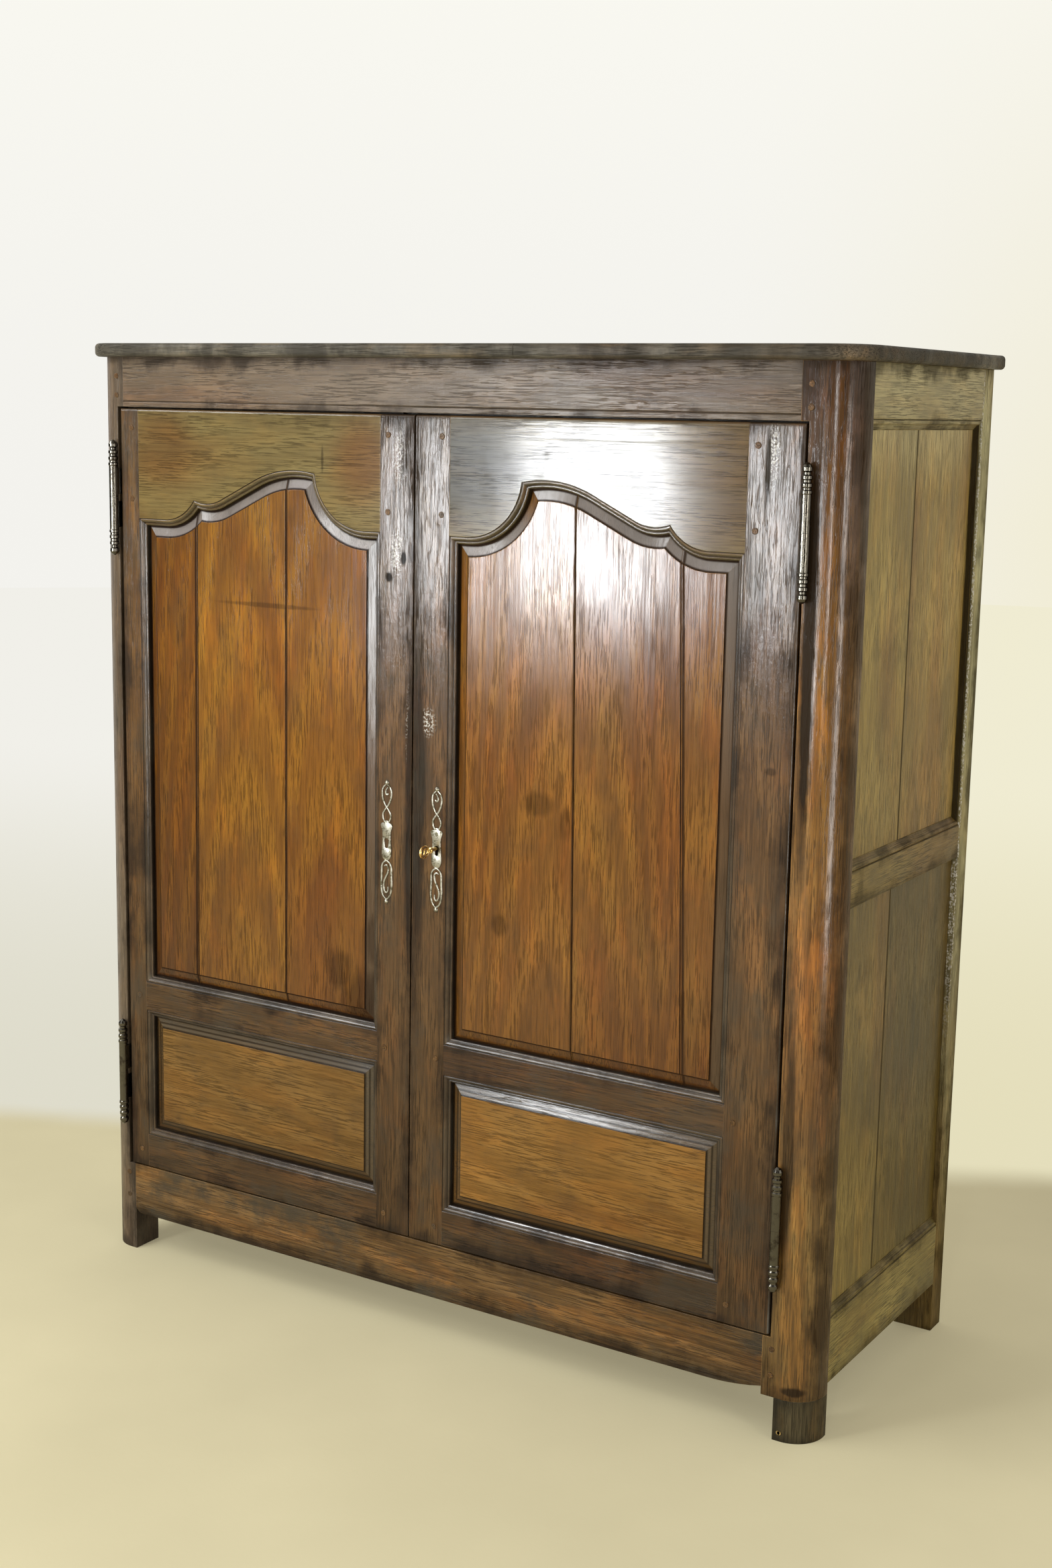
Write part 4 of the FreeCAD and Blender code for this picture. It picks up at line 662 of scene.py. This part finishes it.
# The pale marks along the rear post's arris are painted glints.
post_painted_glints = {"rear_post_right": ((0.2495, 1.12, 0.0080, 0.70, 2.0),)}
for node, grain, tones, faces, heights, patches in (
        ("front_post_left", "upright", frieze_tones, "xz", (), 0.4),
        ("front_post_right", "upright", round_tones, "xz", post_heights_with_shade, 0.4),
        ("rear_post_left", "upright", side_tones, "yz", rear_heights_with_sheen, 0.4),
        ("rear_post_right", "upright", side_tones, "yz", rear_heights_with_sheen, 0.4),
        ("front_top_rail", "across", frieze_tones, "xz", (), 0.25),
        ("front_bottom_rail", "across", frame_tones, "xz", base_heights, 0.75),
        ("side_left_top_rail", "deep", side_tones, "yz", side_heights_with_sheen, 0.2),
        ("side_right_top_rail", "deep", side_tones, "yz", side_heights_with_sheen, 0.2),
        ("side_left_mid_rail", "deep", side_tones, "yz", side_heights_with_sheen, 0.35),
        ("side_right_mid_rail", "deep", side_tones, "yz", side_heights_with_sheen, 0.35),
        ("side_left_bottom_rail", "deep", side_tones, "yz", side_heights_with_sheen, 0.5),
        ("side_right_bottom_rail", "deep", side_tones, "yz", side_heights_with_sheen, 0.5),
        ("front_foot_repair", "upright", repair_tones, "xz", (), 0.3)):
    handled = tones is round_tones
    wax = 0.9 if handled else 0.45 if tones is frieze_tones else 0.2
    dress(node, oak(node, grain, tones, next(seeds), faces, wax=wax,
                    wax_roughness=0.13 if handled else 0.22, ripple=0.5 if handled else 1.0,
                    heights=heights, patches=patches, shine=0.0 if "rear" in node else 0.08,
                    orange=0.15 if tones in (side_tones, frieze_tones) else 0.5,
                    marks=post_marks.get(node, ()), chip_and_glint_marks=post_painted_glints.get(node, ())))

# %% [markdown]
# A panel of several planks needs the figure to break at each joint, or it reads as
# one veneer. The joints lean a little, so each is given by its place at the foot
# and at the head of the panel. Each plank also has its own shade.

# %% Panels of planks
field_face = -0.2390
# Lit bevels of the panels take these colours by height, a painted sheen: grey high on the upper panels, dull
# olive brown on the lower ones.
arch_bevel_painted_sheen = ((0.50, (0.060, 0.034, 0.015)), (0.95, (0.090, 0.052, 0.026)), (1.15, (0.130, 0.095, 0.070)),
              (1.30, (0.155, 0.136, 0.125)))
low_bevel_painted_sheen = ((0.20, (0.060, 0.042, 0.022)), (0.46, (0.060, 0.050, 0.034)))
# Depths behind the face of the raised field, in metres
bevel_from, bevel_to = 0.0014, 0.0080
field_line = (0.0003, 0.0022)
bevel_groove = (0.0036, 0.0044)
bevel_foot = (0.0060, 0.0090)


def joints_of(node, shares, face_axis):
    """Joint lines from shares of a panel's width, at its foot and at its head."""
    low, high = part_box(node)
    width = high[face_axis] - low[face_axis]
    return [(low[face_axis] + foot * width, low[face_axis] + head * width, low[2], high[2])
            for foot, head in shares]


panel_heights = ((0.50, (0.66, 0.60, 0.62)), (0.68, (0.85, 0.80, 0.85)), (0.95, (1.02, 1.0, 1.05)),
                 (1.15, (1.10, 1.10, 1.15)), (1.42, (0.92, 0.94, 1.10)))
for node, tones, shares, plank_tones, marks in (
        ("door_left_upper_panel", left_panel_tones, ((0.23, 0.245), (0.61, 0.615)),
         ((1.70, 1.95, 2.0), (0.90, 0.84, 0.80)),
         ((-0.13, 0.55, 0.065, 0.09, 0.65), (-0.18, 0.60, 0.04, 0.05, 0.5), (-0.115, 0.66, 0.03, 0.07, 0.5),
          (-0.33, 1.198, 0.16, 0.006, 0.45))),
        ("door_right_upper_panel", right_panel_tones, ((0.465, 0.438), (0.845, 0.785)),
         ((0.92, 0.95, 1.0), (0.80, 0.74, 0.75)),
         ((0.20, 0.925, 0.050, 0.030, 0.5), (0.25, 0.900, 0.020, 0.040, 0.4),
          (0.131, 0.723, 0.022, 0.026, 0.5)))):
    dress(node, oak(node, "upright", tones, next(seeds), wax=0.80, wax_roughness=0.16,
                    ripple=0.14, bold=0.80, shine=0.04, joints=joints_of(node, shares, 0),
                    plank_tones=plank_tones, heights=panel_heights, grime=0.0, patches=0.22, orange=0.25,
                    ring_share=1.0, face=field_face, sunk_painted_sheen=(bevel_from, bevel_to, 0.9, arch_bevel_painted_sheen),
                    sunk_shade=0.30, sunk_dirt_and_shade=(field_line, bevel_foot), marks=marks))

side_joint_shares = {"upper": 0.46, "lower": 0.405}
second_plank = {"upper": (1.05, 1.0, 0.95), "lower": (0.70, 0.70, 0.68)}
for level in ("upper", "lower"):
    for side in ("left", "right"):
        node = f"side_{side}_{level}_panel"
        share = side_joint_shares[level]
        dress(node, oak(node, "upright", side_tones, next(seeds), faces="yz", wax=0.2,
                        wax_roughness=0.28, joints=joints_of(node, ((share, share),), 1), ring_share=0.8,
                        plank_tones=(second_plank[level],), patches=0.25, orange=0.2, grime=0.0,
                        heights=side_heights_with_sheen))

low_shades = {"door_left_lower_panel": ((0.25, (0.88, 0.86, 0.85)), (0.45, (0.95, 0.93, 0.92))),
              "door_right_lower_panel": ((0.25, (1.30, 1.22, 1.10)), (0.45, (1.25, 1.18, 1.08)))}
for node, shades in low_shades.items():
    dress(node, oak(node, "across", low_panel_tones, next(seeds), wax=0.25, polish=0.35,
                    wax_roughness=0.14, ripple=0.4, bold=0.6, shine=0.04, ring_share=1.0, patches=0.25,
                    orange=0.2, grime=0.0, heights=shades, face=field_face,
                    sunk_painted_sheen=(bevel_from, bevel_to, 0.8, low_bevel_painted_sheen),
                    sunk_dirt_and_shade=(field_line, bevel_groove, bevel_foot)))

# %% [markdown]
# The door frames are looked at from nearest, so they get the most marks. The
# meeting stiles are chipped pale where keys and hands strike them, and the stiles
# are a little hollow across, which draws their shine out into a long streak.

# %% Door frames
stile_heights = ((0.16, (0.52, 0.51, 0.50)), (0.60, (0.76, 0.74, 0.72)), (1.00, (0.94, 0.92, 0.92)),
                 (1.50, (0.80, 0.86, 0.96)))
worn_marks = {
    "door_left_meeting_stile": ((-0.040, 1.02, 0.008, 0.09, 0.9), (-0.066, 1.30, 0.016, 0.05, 0.8),
                                (-0.060, 1.45, 0.020, 0.06, 0.5)),
    "door_right_meeting_stile": ((-0.006, 1.035, 0.022, 0.030, 0.9), (-0.028, 0.98, 0.006, 0.05, 0.7)),
    "door_left_hinge_stile": ((-0.577, 1.38, 0.012, 0.07, 0.8),),
    "door_right_hinge_stile": ((0.580, 1.47, 0.012, 0.06, 0.8),)}
dark_marks = {
    "door_left_meeting_stile": ((-0.053, 1.291, 0.009, 0.016, 1.0), (-0.081, 1.260, 0.009, 0.011, 1.0),
                                (-0.036, 0.90, 0.018, 0.48, 0.85)),
    "door_right_meeting_stile": ((-0.022, 0.90, 0.024, 0.50, 0.8),),
    "door_left_top_rail": ((-0.214, 1.44, 0.004, 0.035, 0.6),),
    "door_right_top_rail": ((0.545, 1.45, 0.010, 0.07, 0.9),),
    "door_right_hinge_stile": ((0.572, 1.45, 0.006, 0.08, 0.8), (0.594, 1.02, 0.014, 0.009, 0.55))}
rail_stains = {
    "door_left_top_rail": ((-0.135, 1.44, 0.085, 0.10, (0.95, 0.66, 0.48)),
                           (-0.55, 1.45, 0.10, 0.10, (0.85, 0.70, 0.60))),
    "door_right_top_rail": ((0.50, 1.43, 0.16, 0.16, (0.60, 0.45, 0.28)),
                            (0.05, 1.44, 0.20, 0.14, (0.42, 0.42, 0.50)),
                            (0.30, 1.40, 0.28, 0.16, (0.60, 0.58, 0.58)))}
cupping_of = {"door_left_meeting_stile": -0.070, "door_right_meeting_stile": -0.060,
              "door_right_hinge_stile": 0.09}
door_face = -0.2460
# The lit side of a bead takes these colours; the pale stops near 0.20 and 0.50 m paint highlights along the
# upper mouldings of the bottom and mid rails.
bead_painted_sheen = ((0.20, (0.150, 0.135, 0.115)), (0.24, (0.075, 0.042, 0.018)), (0.48, (0.080, 0.045, 0.020)),
             (0.50, (0.180, 0.165, 0.145)), (0.53, (0.080, 0.045, 0.020)), (1.40, (0.115, 0.062, 0.026)))
frame_finish = {"wax": 0.50, "wax_roughness": 0.15, "shine": 0.10, "bold": 0.9, "patches": 0.5,
                "orange": 0.35, "grime": 0.75}
head_finish = {"wax": 0.75, "wax_roughness": 0.12, "shine": 0.05, "bold": 0.55, "patches": 0.12,
               "orange": 0.15, "grime": 0.35}
door_parts = (("meeting_stile", "upright", 0.9), ("hinge_stile", "upright", 0.9),
              ("top_rail", "across", 0.05), ("mid_rail", "across", 0.45), ("bottom_rail", "across", 0.45))
for side in ("left", "right"):
    for part, grain, ripple in door_parts:
        node = f"door_{side}_{part}"
        head = part == "top_rail"
        dress(node, oak(node, grain, head_tones if head else door_tones, next(seeds),
                        **(head_finish if head else frame_finish), polish=0.6, ripple=ripple,
                        stains=rail_stains.get(node, ()), heights=stile_heights, face=door_face,
                        sunk_painted_sheen=(0.0006, 0.0060, 0.85, bead_painted_sheen), sunk_dirt_and_shade=((0.0064, 0.0250),),
                        marks=dark_marks.get(node, ()), chip_and_glint_marks=worn_marks.get(node, ()),
                        cupping=cupping_of.get(node, 0.0)))

# %% Top, back and inside
for node in ("top_front_boards", "top_middle_board", "top_rear_board"):
    dress(node, oak(node, "across", top_tones, next(seeds), faces="xy", wax=0.25,
                    wax_roughness=0.35, dull=0.1))
for node, grain, faces in (("back_boards", "upright", "xz"), ("back_top_rail", "across", "xz"),
                           ("back_bottom_rail", "across", "xz"), ("floor_boards", "across", "xy"),
                           ("floor_bearers", "deep", "yz"), ("shelf_lower", "across", "xy"),
                           ("shelf_upper", "across", "xy"), ("shelf_cleats", "deep", "yz")):
    dress(node, oak(node, grain, inside_tones, next(seeds), faces=faces, wax=0.0, dull=0.25))
for node in ("frame_pegs", "door_left_pegs", "door_right_pegs"):
    dress(node, oak(node, "deep", door_tones, next(seeds), grime=0.0, wax=0.3, orange=0.0,
                    patches=0.9))
print("oak finishes mixed:", next(seeds) - 1)

# %% [markdown]
# ## Iron, brass and tarnished silver-grey
#
# The hinges are steel grey and polished by turning, with brown rust near their
# rings. The pierced plates are a tarnished pale metal, and the key is brass. All
# three are the same recipe: a metal colour, a darker tarnish where the noise and
# the nooks say so, and a roughness that follows the tarnish.

# %% The metal recipe
def metal(name, bright, tarnish, tarnish_share, roughness_low, roughness_high, grain_scale=60.0, pitting=0.4):
    """Metal with tarnish in blotches and nooks, and finer flecks over it all."""
    mix = finish_bench(name)
    place = mix.add("TexCoord").outputs["Object"]
    blotch = mix.noise(place, (grain_scale,) * 3, detail=5.0, roughness=0.65)
    fleck = mix.noise(place, (grain_scale * 9.0,) * 3, detail=3.0)
    nook = mix.add("AmbientOcclusion", {"Distance": 0.006}, samples=4).outputs["AO"]
    blotch = mix.step(blotch, 0.62 - 0.3 * tarnish_share, 0.75 - 0.2 * tarnish_share)
    stain = mix.maths("ADD", blotch, mix.step(nook, 0.8, 0.3), clamp=True)
    colour = mix.blend(stain, bright, tarnish)
    colour = mix.blend(mix.times(fleck, 0.3), colour, tarnish)
    roughness = mix.add("MapRange", {0: stain, 3: roughness_low, 4: roughness_high}).outputs[0]
    surface = {"Base Color": colour, "Metallic": 1.0, "Roughness": roughness,
               "Normal": mix.bump(fleck, 0.0003, pitting)}
    return mix.show(mix.shade("BsdfPrincipled", surface))


hinge_iron = metal("hinge_steel", (0.130, 0.120, 0.100), (0.045, 0.036, 0.026), 0.30, 0.16, 0.32, 40.0, 0.12)
lock_iron = metal("lock_iron", (0.20, 0.19, 0.18), (0.07, 0.045, 0.03), 0.4, 0.4, 0.7)
plate_silver = metal("plate_silver", (0.42, 0.395, 0.335), (0.11, 0.095, 0.055), 0.6, 0.3, 0.6, 160.0)
key_gold = metal("key_brass_polish", (0.86, 0.60, 0.24), (0.22, 0.13, 0.04), 0.3, 0.2, 0.5, 150.0)
nail_gold = metal("nail_brass_polish", (0.62, 0.45, 0.20), (0.16, 0.10, 0.04), 0.4, 0.3, 0.55, 150.0)
for node in ("post_left_hinge_pintles", "post_right_hinge_pintles", "door_left_hinge_sockets",
             "door_right_hinge_sockets"):
    dress(node, hinge_iron)
for node in ("lock_case", "lock_keeper", "lock_bolt", "door_bolt_plates", "upper_bolt", "lower_bolt"):
    dress(node, lock_iron)
for node in ("door_left_escutcheon", "door_right_escutcheon"):
    dress(node, plate_silver)
dress("key", key_gold)
dress("foot_repair_nails", nail_gold)

# %% [markdown]
# ## The pierced plates
#
# Each meeting stile carries a tall pierced plate: a small shield with the keyhole
# in the middle, and above and below it flat strands that bend into loops and
# scrolls, closed by a round-headed nail. On the bench such a plate is sawn from
# sheet and filed. Here the shield starts as half an outline, is mirrored, filled
# around its keyhole and given its thickness. The strands could be spun from a
# small section, but their bends change all the time, so each one is a smooth curve
# with a round section, turned into a mesh and pressed flat.

# %% Strands and shields
sheet_thickness = 0.0016
strand_radius = 0.00135
keyhole_radius = 0.0044
keyhole_drop = 0.0075
nail_radius, nail_rise = 0.0042, 0.0034


def strand(bm, points):
    """A smooth flat strand through points given as across, up and relative width."""
    line = bpy.data.curves.new("strand", "CURVE")
    line.dimensions = "3D"
    line.bevel_depth = strand_radius
    line.bevel_resolution = 2
    line.resolution_u = 6
    line.use_fill_caps = True
    spline = line.splines.new("NURBS")
    spline.points.add(len(points) - 1)
    for control, (across, height, width) in zip(spline.points, points):
        control.co = (across, 0.0, height, 1.0)
        control.radius = width
    spline.order_u = 3
    spline.use_endpoint_u = True
    holder = bpy.data.objects.new("strand", line)
    bm.from_mesh(bpy.data.meshes.new_from_object(holder))
    bpy.data.objects.remove(holder)


def keyhole_outline(bm, height):
    """A closed keyhole: a ring of vertices whose lower ones are drawn down into the slot."""
    ring = bmesh.ops.create_circle(bm, segments=16, radius=keyhole_radius,
                                   matrix=Matrix.Rotation(quarter_turn, 4, "X"))["verts"]
    for vertex in ring:
        if vertex.co.z < -0.0030:
            vertex.co.z -= keyhole_drop
            vertex.co.x *= 0.9
    bmesh.ops.translate(bm, verts=ring, vec=(0.0, 0.0, height))


def shield(bm, half_outline):
    """A plate from half an outline of (across, up), with a keyhole through it."""
    corners = [bm.verts.new((across, 0.0, height)) for across, height in half_outline]
    edges = [bm.edges.new(pair) for pair in zip(corners, corners[1:])]
    bmesh.ops.mirror(bm, geom=corners + edges, axis="X", merge_dist=1e-5)
    keyhole_outline(bm, 0.002)
    bmesh.ops.triangle_fill(bm, edges=bm.edges[:], use_beauty=True, use_dissolve=False, normal=(0, -1, 0))
    front = bmesh.ops.extrude_face_region(bm, geom=bm.faces[:])
    moved = [part for part in front["geom"] if isinstance(part, bmesh.types.BMVert)]
    bmesh.ops.translate(bm, verts=moved, vec=(0.0, -sheet_thickness, 0.0))
    bmesh.ops.recalc_face_normals(bm, faces=bm.faces[:])
    rims = [edge for edge in bm.edges if edge.calc_face_angle(0.0) > 1.0]
    bmesh.ops.bevel(bm, geom=rims, offset=0.0004, segments=2, affect="EDGES", profile=0.5, material=-1)


def nail_head(bm, height):
    """A round nail head, a little flatter than a ball."""
    made = bmesh.ops.create_uvsphere(bm, u_segments=20, v_segments=12, radius=nail_radius)["verts"]
    bmesh.ops.scale(bm, verts=made, vec=(1.0, nail_rise / nail_radius, 1.0))
    bmesh.ops.translate(bm, verts=made, vec=(0.0, 0.0, height))


def make_piece(name, bm, material, body, node):
    """Turn a finished bmesh into a piece that rides on a body and stands for a node."""
    mesh = bpy.data.meshes.new(name)
    bm.to_mesh(mesh)
    bm.free()
    piece = bpy.data.objects.new(name, mesh)
    mesh.materials.append(material)
    mesh.shade_smooth()
    mesh.set_sharp_from_angle(angle=math.radians(40.0))
    scene.collection.objects.link(piece)
    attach(piece, body)
    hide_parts(node)
    print(name, "faces:", len(mesh.polygons))


# %% [markdown]
# The strands are listed once, for one half or one loop. The upper part is a pair
# that crosses and opens into a loop; the lower part is an oval with a scroll
# through its middle. Heights are measured from the middle of the plate.

# %% Draw one plate
plate_half_outline = ((0.0, 0.0355), (0.0030, 0.0350), (0.0050, 0.0318), (0.0092, 0.0312), (0.0118, 0.0280),
                      (0.0104, 0.0236), (0.0084, 0.0180), (0.0080, 0.0080), (0.0086, -0.0040),
                      (0.0094, -0.0130), (0.0092, -0.0215), (0.0070, -0.0270), (0.0040, -0.0298),
                      (0.0, -0.0305))
upper_strand = ((0.0006, 0.0960, 0.9), (-0.0052, 0.0930, 0.9), (-0.0094, 0.0850, 1.2),
                (-0.0086, 0.0730, 1.3), (-0.0040, 0.0620, 1.1), (0.0030, 0.0540, 1.1),
                (0.0084, 0.0460, 1.2), (0.0070, 0.0370, 1.1), (0.0035, 0.0330, 1.0))
upper_curl = ((-0.0022, 0.0905, 0.6), (0.0022, 0.0860, 0.9), (0.0026, 0.0800, 1.1),
              (-0.0010, 0.0775, 1.2), (-0.0034, 0.0805, 0.8))
lower_strand = ((0.0030, -0.0300, 1.0), (-0.0060, -0.0320, 1.1), (-0.0100, -0.0420, 1.3),
                (-0.0094, -0.0560, 1.3), (-0.0106, -0.0700, 1.3), (-0.0092, -0.0850, 1.2),
                (-0.0040, -0.0930, 1.1), (0.0, -0.0950, 1.0))
lower_scroll = ((0.0044, -0.0400, 0.8), (0.0008, -0.0370, 1.1), (-0.0040, -0.0410, 1.2),
                (-0.0034, -0.0500, 1.2), (0.0010, -0.0580, 1.3), (0.0060, -0.0680, 1.3),
                (0.0050, -0.0800, 1.2), (0.0, -0.0850, 1.1), (-0.0040, -0.0800, 0.9),
                (-0.0030, -0.0740, 0.7))
nail_heights = (0.0980, -0.0985)
strand_flatness = 0.62


def flipped(points):
    """The same strand on the other side of the plate's middle."""
    return tuple((-across, height, width) for across, height, width in points)


def pierced_plate(name, node, body, middle, facing):
    """One plate on its stile; facing 1 or -1 turns the scrolls the other way."""
    bm = bmesh.new()
    shield(bm, plate_half_outline)
    shield_verts = bm.verts[:]
    bmesh.ops.translate(bm, verts=shield_verts, vec=(0.0, 0.0004, 0.0))
    for points in (upper_strand, flipped(upper_strand), lower_strand, flipped(lower_strand),
                   upper_curl, lower_scroll):
        strand(bm, points if facing > 0 else flipped(points))
    strands = [vertex for vertex in bm.verts if vertex not in set(shield_verts)]
    bmesh.ops.scale(bm, verts=strands, vec=(1.0, strand_flatness, 1.0))
    bmesh.ops.translate(bm, verts=strands, vec=(0.0, -0.0007, 0.0))
    for height in nail_heights:
        nail_head(bm, height)
    across, up_to = middle
    bmesh.ops.translate(bm, verts=bm.verts[:], vec=(across, door_face, up_to))
    make_piece(name, bm, plate_silver, body, node)


pierced_plate("plate_left", "door_left_escutcheon", "door_left", (-0.0820, 0.8310), -1)
pierced_plate("plate_right", "door_right_escutcheon", "door_right", (0.0160, 0.8310), 1)

# %% [markdown]
# ## The key
#
# The key is cast brass: an oval bow pierced into two loops, a stepped collar, a
# round shaft, and the bit that turns inside the lock. A ring spun from a small
# circle and drawn out to an oval makes the bow, and everything on the shaft's line
# is one turned profile, spun around it.

# %% Turn and cast the key
key_line = (0.0160, 0.8330)
key_low, key_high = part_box("key")
key_tip = key_low[1]
shaft_end = key_high[1] - key_tip


def turn_profile(bm, profile, place, axis):
    """Spin a profile of (along, radius) around a level axis through a place."""
    side = Vector((0.0, 0.0, 1.0))
    corners = [bm.verts.new(place + axis * along + side * radius) for along, radius in profile]
    edges = [bm.edges.new(pair) for pair in zip(corners, corners[1:])]
    bmesh.ops.spin(bm, geom=corners + edges, cent=place, axis=axis, angle=math.tau, steps=32,
                   use_merge=True)


def bit(bm, place):
    """The notched flag that throws the bolt, drawn in the plane of its face."""
    outline = ((0.0, 0.0), (0.009, 0.0), (0.009, -0.0085), (0.0060, -0.0085), (0.0060, -0.0060),
               (0.0045, -0.0060), (0.0045, -0.0085), (0.0, -0.0085))
    corners = [bm.verts.new(place + Vector((-0.0012, along, height))) for along, height in outline]
    face = bm.faces.new(corners)
    grown = bmesh.ops.extrude_face_region(bm, geom=[face])["geom"]
    moved = [part for part in grown if isinstance(part, bmesh.types.BMVert)]
    bmesh.ops.translate(bm, verts=moved, vec=(0.0024, 0.0, 0.0))


def bow_ring(bm, half_length, half_height, wire, middle):
    """An oval ring of round wire, in the upright plane through the shaft."""
    section = bmesh.ops.create_circle(bm, segments=10, radius=wire,
                                      matrix=Matrix.Translation((half_length, 0.0, 0.0)))["verts"]
    ring_edges = list({edge for vertex in section for edge in vertex.link_edges})
    before = set(bm.verts) - set(section)
    bmesh.ops.spin(bm, geom=section + ring_edges, cent=(0, 0, 0), axis=(0, 1, 0), angle=math.tau,
                   steps=36, use_merge=True)
    ring = [vertex for vertex in bm.verts if vertex not in before]
    bmesh.ops.scale(bm, verts=ring, vec=(1.0, 1.3, half_height / half_length))
    bmesh.ops.rotate(bm, verts=ring, cent=(0, 0, 0), matrix=Matrix.Rotation(quarter_turn, 3, "Z"))
    bmesh.ops.translate(bm, verts=ring, vec=middle)


# Half length, half height, wire radius and shift along the shaft of the bow's rings
bow_rings = ((0.0112, 0.0098, 0.0013, 0.0), (0.0048, 0.0058, 0.0010, -0.0042),
             (0.0044, 0.0048, 0.0010, 0.0048))
collar_profile = ((0.0225, 0.0), (0.0228, 0.0022), (0.0240, 0.0034), (0.0256, 0.0034), (0.0266, 0.0024),
                  (0.0280, 0.0024), (0.0290, 0.0046), (0.0316, 0.0050), (0.0330, 0.0044), (0.0340, 0.0031))


def cast_key():
    """The whole key, from the tip of its bow at key_tip to the end of its shaft."""
    bm = bmesh.new()
    start = Vector((key_line[0], key_tip, key_line[1]))
    inward = Vector((0.0, 1.0, 0.0))
    bow_middle = start + inward * 0.0125
    for half_length, half_height, wire, shift in bow_rings:
        bow_ring(bm, half_length, half_height, wire, bow_middle + inward * shift)
    shaft_tip = ((shaft_end - 0.0008, 0.0031), (shaft_end, 0.0024), (shaft_end, 0.0))
    turn_profile(bm, collar_profile + shaft_tip, start, inward)
    bit(bm, start + Vector((0.0, 0.0785, -0.0028)))
    bmesh.ops.remove_doubles(bm, verts=bm.verts[:], dist=1e-6)
    bmesh.ops.recalc_face_normals(bm, faces=bm.faces[:])
    return bm


make_piece("cast_key", cast_key(), key_gold, "key", "key")
